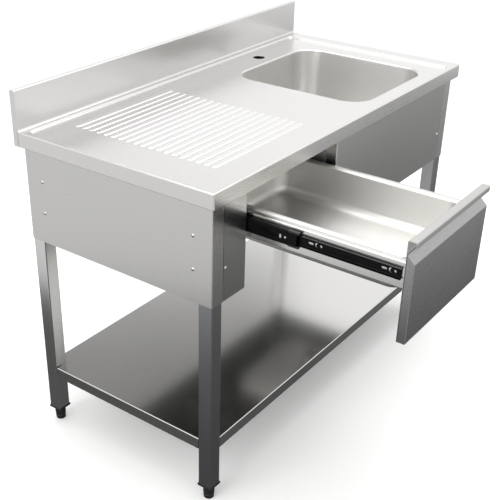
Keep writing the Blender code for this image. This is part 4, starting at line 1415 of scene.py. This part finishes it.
@dataclass
class DrawerPan:
    """The pressed pan, with a flat rim curled down at its edge."""

    width: float = 0.297
    length: float = 0.497
    depth: float = 0.098
    corner: float = 0.042
    fillet: float = 0.022
    draft: float = 0.003
    roll: float = 0.004
    rim_corner: float = 0.020
    curl: float = 0.0026
    skirt: float = 0.003
    wall_gap: float = 0.001
    heart: Point = (0.02, 0.06)
    sheet: float = 0.0009

    def build(self) -> None:
        """Builds the pan."""
        box = span("drawer_pan")
        x = (box.middle_x - self.width / 2, box.middle_x + self.width / 2)
        y = (box.middle_y - self.length / 2, box.middle_y + self.length / 2)
        top, floor = box.z1, box.z1 - self.depth
        rings = [level(rounded(*box.inset(0), self.rim_corner, 10), top - self.skirt)]
        for reach, z in arc(0, 0, self.curl, 0, 90, 4):
            inset = self.curl - reach
            outline = rounded(*box.inset(inset), self.rim_corner - inset, 10)
            rings.append(level(outline, top - self.curl + z))
        for reach, z in arc(0, 0, self.roll, 90, 0, 5):
            grow = self.roll - reach
            outline = rounded(x[0] - grow, x[1] + grow, y[0] - grow, y[1] + grow, self.corner + grow, 10)
            rings.append(level(outline, top - self.roll + z))
        wall_top = top - self.roll - self.wall_gap
        rings += tub_rings(x, y, (wall_top, floor), self.corner, self.fillet, self.draft, 10, 7)
        flat = [(a, b) for a, b, _ in rings[-1]]
        (across, along), mid_x, mid_y = self.heart, box.middle_x, box.middle_y
        heart = rounded(mid_x - across, mid_x + across, mid_y - along, mid_y + along, across / 2, 10)
        for share in (0.35, 0.7, 1.0):
            rings.append(level(between(flat, heart, share), floor))
        obj = as_object("gastronorm_pan", loft(rings, caps=(False, True)))
        face_towards(obj, (mid_x, mid_y, top - self.depth / 2))
        thicken(obj, self.sheet)
        fit(obj, "pan", Finish.PAN, "drawer_pan")


@dataclass
class Slides:
    """Both ball-bearing slides."""

    sheet: float = 0.0012
    bend: float = 0.0022
    set_in: float = 0.001
    block_start: float = 0.0055
    block_length: float = 0.0275
    block_opening: float = 0.0135
    block_edge: float = 0.0008
    hole_groups: tuple[float, ...] = (0.012, 0.185, 0.300, 0.400)
    hole_at: float = 0.003
    hole_radius: float = 0.0032
    crescent_at: Point = (0.0128, 0.0098)
    crescent_radii: Point = (0.0056, 0.0046)
    slot_ends: Point = (0.0215, 0.0345)
    slot_half: float = 0.0028
    slot_corner: float = 0.0026
    rivets_at: float = 0.034
    rivet_radius: float = 0.0026
    long_rivet_ends: Point = (0.010, 0.0145)
    long_rivet_half: float = 0.0045
    long_rivet_corner: float = 0.0012
    rivet_sunk: float = 0.0004
    rivet_proud: float = 0.00035

    def build(self) -> None:
        """Builds every member of both slides."""
        for hand, side in HANDS:
            for member in ("outer", "middle", "inner"):
                self.build_member(member, hand, side)
            for cage in ("outer_cage", "inner_cage"):
                PAINT.dress(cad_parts[f"slide_{cage}_{hand}"], Finish.CAGE)

    def build_member(self, member: str, hand: str, side: int) -> None:
        """Folds one member of a slide, with its holes or its end block.

        Args:
            member: Which member it is.
            hand: Which slide it is in.
            side: -1 on the drawer's left, 1 on its right.
        """
        node = f"slide_{member}_{hand}"
        box = span(node)
        inner, middle = member == "inner", member == "middle"
        low, high = box.z0 + self.set_in * middle, box.z1 - self.set_in * middle
        web, mouth = (box.x0, box.x1) if (side < 0) != inner else (box.x1, box.x0)
        path = [(mouth, low), (web, low), (web, high), (mouth, high)]
        front = box.y0 + self.block_start * middle
        outline = folded(path, (-side if inner else side) * self.sheet, self.bend)
        obj = as_object(f"slide_{member}_member_{hand}", extruded(outline, Axis.Y, front, box.y1))
        if inner:
            self.drill(obj, web, box)
        body = {"outer": "table", "middle": f"slide_middle_{hand}_body", "inner": "drawer"}[member]
        fit(obj, body, Finish.SLIDE, node)
        if middle:
            self.build_end_block(hand, side, box, body)

    def drill(self, obj: bpy.types.Object, web: float, box: Span) -> None:
        """Punches the inner member's groups of holes: a slot, a crescent and a round hole in each.

        Args:
            obj: The member.
            web: Its web's outer face.
            box: The member's box.
        """
        middle = box.middle_z
        cutter = bmesh.new()
        for start in self.hole_groups:
            y = box.y0 + start
            hole = circle(y + self.hole_at, middle, self.hole_radius, 16)
            crescent = arc(y + self.crescent_at[0], middle, self.crescent_radii[0], 110, -110, 8)
            crescent += arc(y + self.crescent_at[1], middle, self.crescent_radii[1], -90, 90, 8)
            near, far = (y + end for end in self.slot_ends)
            slot = rounded(near, far, middle - self.slot_half, middle + self.slot_half, self.slot_corner, 4)
            for outline in (slot, hole, crescent):
                extruded(outline, Axis.X, web - 2 * self.sheet, web + 2 * self.sheet, cutter)
        cut(obj, as_object("slide cutter", cutter))

    def build_end_block(self, hand: str, side: int, box: Span, body: str) -> None:
        """The moulded end's two jaws on the middle member's front, and the two stop rivets behind them.

        Args:
            hand: Which slide it is in.
            side: -1 on the drawer's left, 1 on its right.
            box: The member's box.
            body: The body that it rides on.
        """
        bm = bmesh.new()
        x0, x1, z = box.x0, box.x1, box.middle_z
        for low, high in ((box.z0, z - self.block_opening), (z + self.block_opening, box.z1)):
            jaw = [(x0, low), (x1, low), (x1, high), (x0, high)]
            extruded(jaw, Axis.Y, box.y0, box.y0 + self.block_length, bm)
        obj = as_object(f"slide_end_block_{hand}", bm)
        bevelled(obj, self.block_edge, 2)
        fit(obj, body, Finish.CAGE)

        web = x0 if side < 0 else x1
        faces = sorted((web - side * self.rivet_sunk, web + side * self.rivet_proud))
        bm = bmesh.new()
        y = box.y0 + self.rivets_at
        near, far = (y + end for end in self.long_rivet_ends)
        low, high = z - self.long_rivet_half, z + self.long_rivet_half
        long_rivet = rounded(near, far, low, high, self.long_rivet_corner, 3)
        for outline in (long_rivet, circle(y, z, self.rivet_radius, 14)):
            extruded(outline, Axis.X, *faces, bm)
        fit(as_object(f"slide_stop_rivets_{hand}", bm), body, Finish.RIVET)


def dress_carried_nodes() -> None:
    """Gives each CAD node that stays its finish."""
    turned = ("waste_nut", "waste_tail", "strainer_basket")
    for node, finish in (("waste_gasket", Finish.GASKET), *((name, Finish.WASTE) for name in turned)):
        PAINT.dress(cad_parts[node], finish)
        log.info("%s keeps its CAD shape", node)


# Studio


@dataclass
class Studio:
    """A pale floor, soft lights, and what the steel mirrors."""

    floor_colour: str = "#F7F7F6"
    floor_emission: float = 0.12
    floor_reach: float = 14.0
    mirror_floor_height: float = 0.0002
    room_strength: float = 1.06
    mirrored_strength: float = 1.22
    camera_place: tuple[float, float, float] = (-1.9540, -1.1273, 1.5988)
    yaw: float = 53.036
    pitch: float = 28.997
    roll: float = 0.533
    lens: float = 65.68
    shift: Point = (0.071, 0.046)

    def build(self) -> None:
        """Builds the studio."""
        scene = bpy.context.scene
        scene.view_settings.view_transform = "Standard"
        self.build_floor()
        self.build_floor_glow()
        self.build_world()
        self.build_lights()
        self.build_camera()

    def plane(self, name: str, z: float) -> bpy.types.Object:
        """A flat stage piece facing up, as wide as the studio.

        Args:
            name: Its name.
            z: Its height.

        Returns:
            The object.
        """
        mesh = bpy.data.meshes.new(name)
        far = self.floor_reach
        mesh.from_pydata([(-far, -far, z), (far, -far, z), (far, far, z), (-far, far, z)], [], [(0, 1, 2, 3)])
        obj = bpy.data.objects.new(name, mesh)
        bpy.context.scene.collection.objects.link(obj)
        return obj

    def build_floor(self) -> None:
        """The pale floor."""
        floor = self.plane("studio_floor", 0.0)
        made, tree, shader = new_material("matt pale studio floor")
        noise = {"Vector": object_place(tree), "Scale": 1.5, "Detail": 2.0}
        rough = add_node(
            tree, "ShaderNodeMapRange", {0: add_node(tree, "ShaderNodeTexNoise", noise), 3: 0.85, 4: 0.95}
        )
        tree.links.new(rough.outputs[0], shader.inputs["Roughness"])
        shader.inputs["Base Color"].default_value = linear(self.floor_colour)
        shader.inputs["Emission Color"].default_value = WHITE
        shader.inputs["Emission Strength"].default_value = self.floor_emission
        shader.inputs["Specular IOR Level"].default_value = 0.1
        floor.data.materials.append(made)

    def build_floor_glow(self) -> None:
        """A floor that only mirrors see: dim round the table, brighter in front and beyond its left."""
        card = self.plane("mirror_floor", self.mirror_floor_height)
        made = bpy.data.materials.new("studio floor as mirrored")
        made.use_nodes = True
        tree = made.node_tree
        tree.nodes.clear()
        add = partial(add_node, tree)
        x, y, _ = add("ShaderNodeSeparateXYZ", {0: object_place(tree)}).outputs
        slanted = add("ShaderNodeMath", {0: y, 1: -0.4, 2: x}, operation="MULTIPLY_ADD")
        near = add("ShaderNodeMapRange", {0: x, 1: 0.0, 2: 2.4, 3: 0.11, 4: 0.33})
        fade = add("ShaderNodeMapRange", {0: x, 1: 1.2, 2: 3.0, 3: 0.85, 4: 0.36})
        glow = near
        # Each edge is eased: beyond the table's left, in front of it, and far off on its right.
        for along, start, end, first, last in (
            (slanted, -1.58, -1.42, 0.88, 0.0), (y, -1.26, -1.06, fade, 0.0), (x, 3.1, 3.7, 0.0, 1.1),
        ):
            limits = {0: along, 1: start, 2: end, 3: first, 4: last}
            edge = add("ShaderNodeMapRange", limits, interpolation_type="SMOOTHSTEP")
            glow = add("ShaderNodeMath", {0: glow, 1: edge}, operation="MAXIMUM")
        light = add("ShaderNodeEmission", {"Color": WHITE, "Strength": glow})
        add("ShaderNodeOutputMaterial", {"Surface": light})
        card.data.materials.append(made)
        for ray in ("camera", "diffuse", "shadow", "transmission"):
            setattr(card, f"visible_{ray}", False)

    def build_world(self) -> None:
        """A white room. To mirrors it is dim in one corner, behind the table's right half."""
        world = bpy.data.worlds.new("white studio")
        bpy.context.scene.world = world
        world.use_nodes = True
        tree = world.node_tree
        tree.nodes.clear()
        add = partial(add_node, tree)
        x, y, z = add("ShaderNodeSeparateXYZ", {0: add("ShaderNodeTexCoord").outputs["Generated"]}).outputs
        ramp = add("ShaderNodeValToRGB", {0: z})
        stops = ((0.0, 0.64), (0.42, 0.68), (0.50, 0.24), (0.60, 0.13), (0.74, 0.28), (0.86, 0.85))
        elements = ramp.color_ramp.elements
        for place, _ in stops[2:]:
            elements.new(place)
        for element, (place, value) in zip(elements, stops):
            element.position = place
            element.color = (value, value, value, 1.0)
        # A ramp holds no value above one, so it stores half of each.
        back = add("ShaderNodeMath", {0: ramp, 1: 2.0}, operation="MULTIPLY")
        beside = add("ShaderNodeMath", {0: y, 1: -1.6, 2: x}, operation="MULTIPLY_ADD")
        right = add("ShaderNodeMapRange", {0: beside, 1: -0.04, 2: 0.04}, interpolation_type="SMOOTHSTEP")
        left = add("ShaderNodeMapRange", {0: x, 1: 0.20, 2: 0.0}, interpolation_type="SMOOTHSTEP")
        opened = add("ShaderNodeMath", {0: right, 1: left}, operation="MAXIMUM")
        mirrored = add("ShaderNodeMix", {0: opened, 2: back, 3: self.mirrored_strength}, data_type="FLOAT")
        glossy = add("ShaderNodeLightPath").outputs["Is Glossy Ray"]
        strength = add("ShaderNodeMix", {0: glossy, 2: self.room_strength, 3: mirrored}, data_type="FLOAT")
        sky = add("ShaderNodeBackground", {"Color": WHITE, "Strength": strength})
        add("ShaderNodeOutputWorld", {"Surface": sky})

    def build_lights(self) -> None:
        """A large soft box above and a smaller one from the left."""
        for name, place, target, size, power in (
            ("overhead_softbox", (0.3, 0.4, 3.0), (0.0, 0.1, 0.8), 2.4, 40.0),
            ("left_softbox", (-3.0, 0.3, 1.8), (-0.2, 0.0, 0.6), 1.8, 30.0),
        ):
            data = bpy.data.lights.new(name, "AREA")
            data.size = size
            data.energy = power
            light = bpy.data.objects.new(name, data)
            light.location = place
            aim = Vector(target) - Vector(place)
            light.rotation_euler = aim.to_track_quat("-Z", "Y").to_euler()
            bpy.context.scene.collection.objects.link(light)

    def build_camera(self) -> None:
        """The camera, above the table's front left corner."""
        yaw, pitch, roll = (math.radians(a) for a in (self.yaw, self.pitch, self.roll))
        right = Vector((math.cos(yaw), -math.sin(yaw), 0))
        ahead = Vector((math.sin(yaw) * math.cos(pitch), math.cos(yaw) * math.cos(pitch), -math.sin(pitch)))
        up = right.cross(ahead)
        across = right * math.cos(roll) + up * math.sin(roll)
        upright = up * math.cos(roll) - right * math.sin(roll)
        data = bpy.data.cameras.new("studio_camera")
        data.sensor_width = 36.0
        data.lens = self.lens
        data.shift_x, data.shift_y = self.shift
        camera = bpy.data.objects.new("studio_camera", data)
        turned = Matrix((across, upright, -ahead)).transposed().to_4x4()
        camera.matrix_world = Matrix.Translation(self.camera_place) @ turned
        bpy.context.scene.collection.objects.link(camera)
        bpy.context.scene.camera = camera


def main() -> None:
    """Builds the table and its studio."""
    logging.basicConfig(level=logging.INFO, format="%(message)s")
    Worktop().build()
    SinkBowl().build()
    LegsAndFeet().build()
    Cladding().build()
    Undershelf().build()
    DrawerFront().build()
    DrawerFrame().build()
    DrawerPan().build()
    Slides().build()
    dress_carried_nodes()
    Studio().build()


if __name__ == "__main__":
    main()
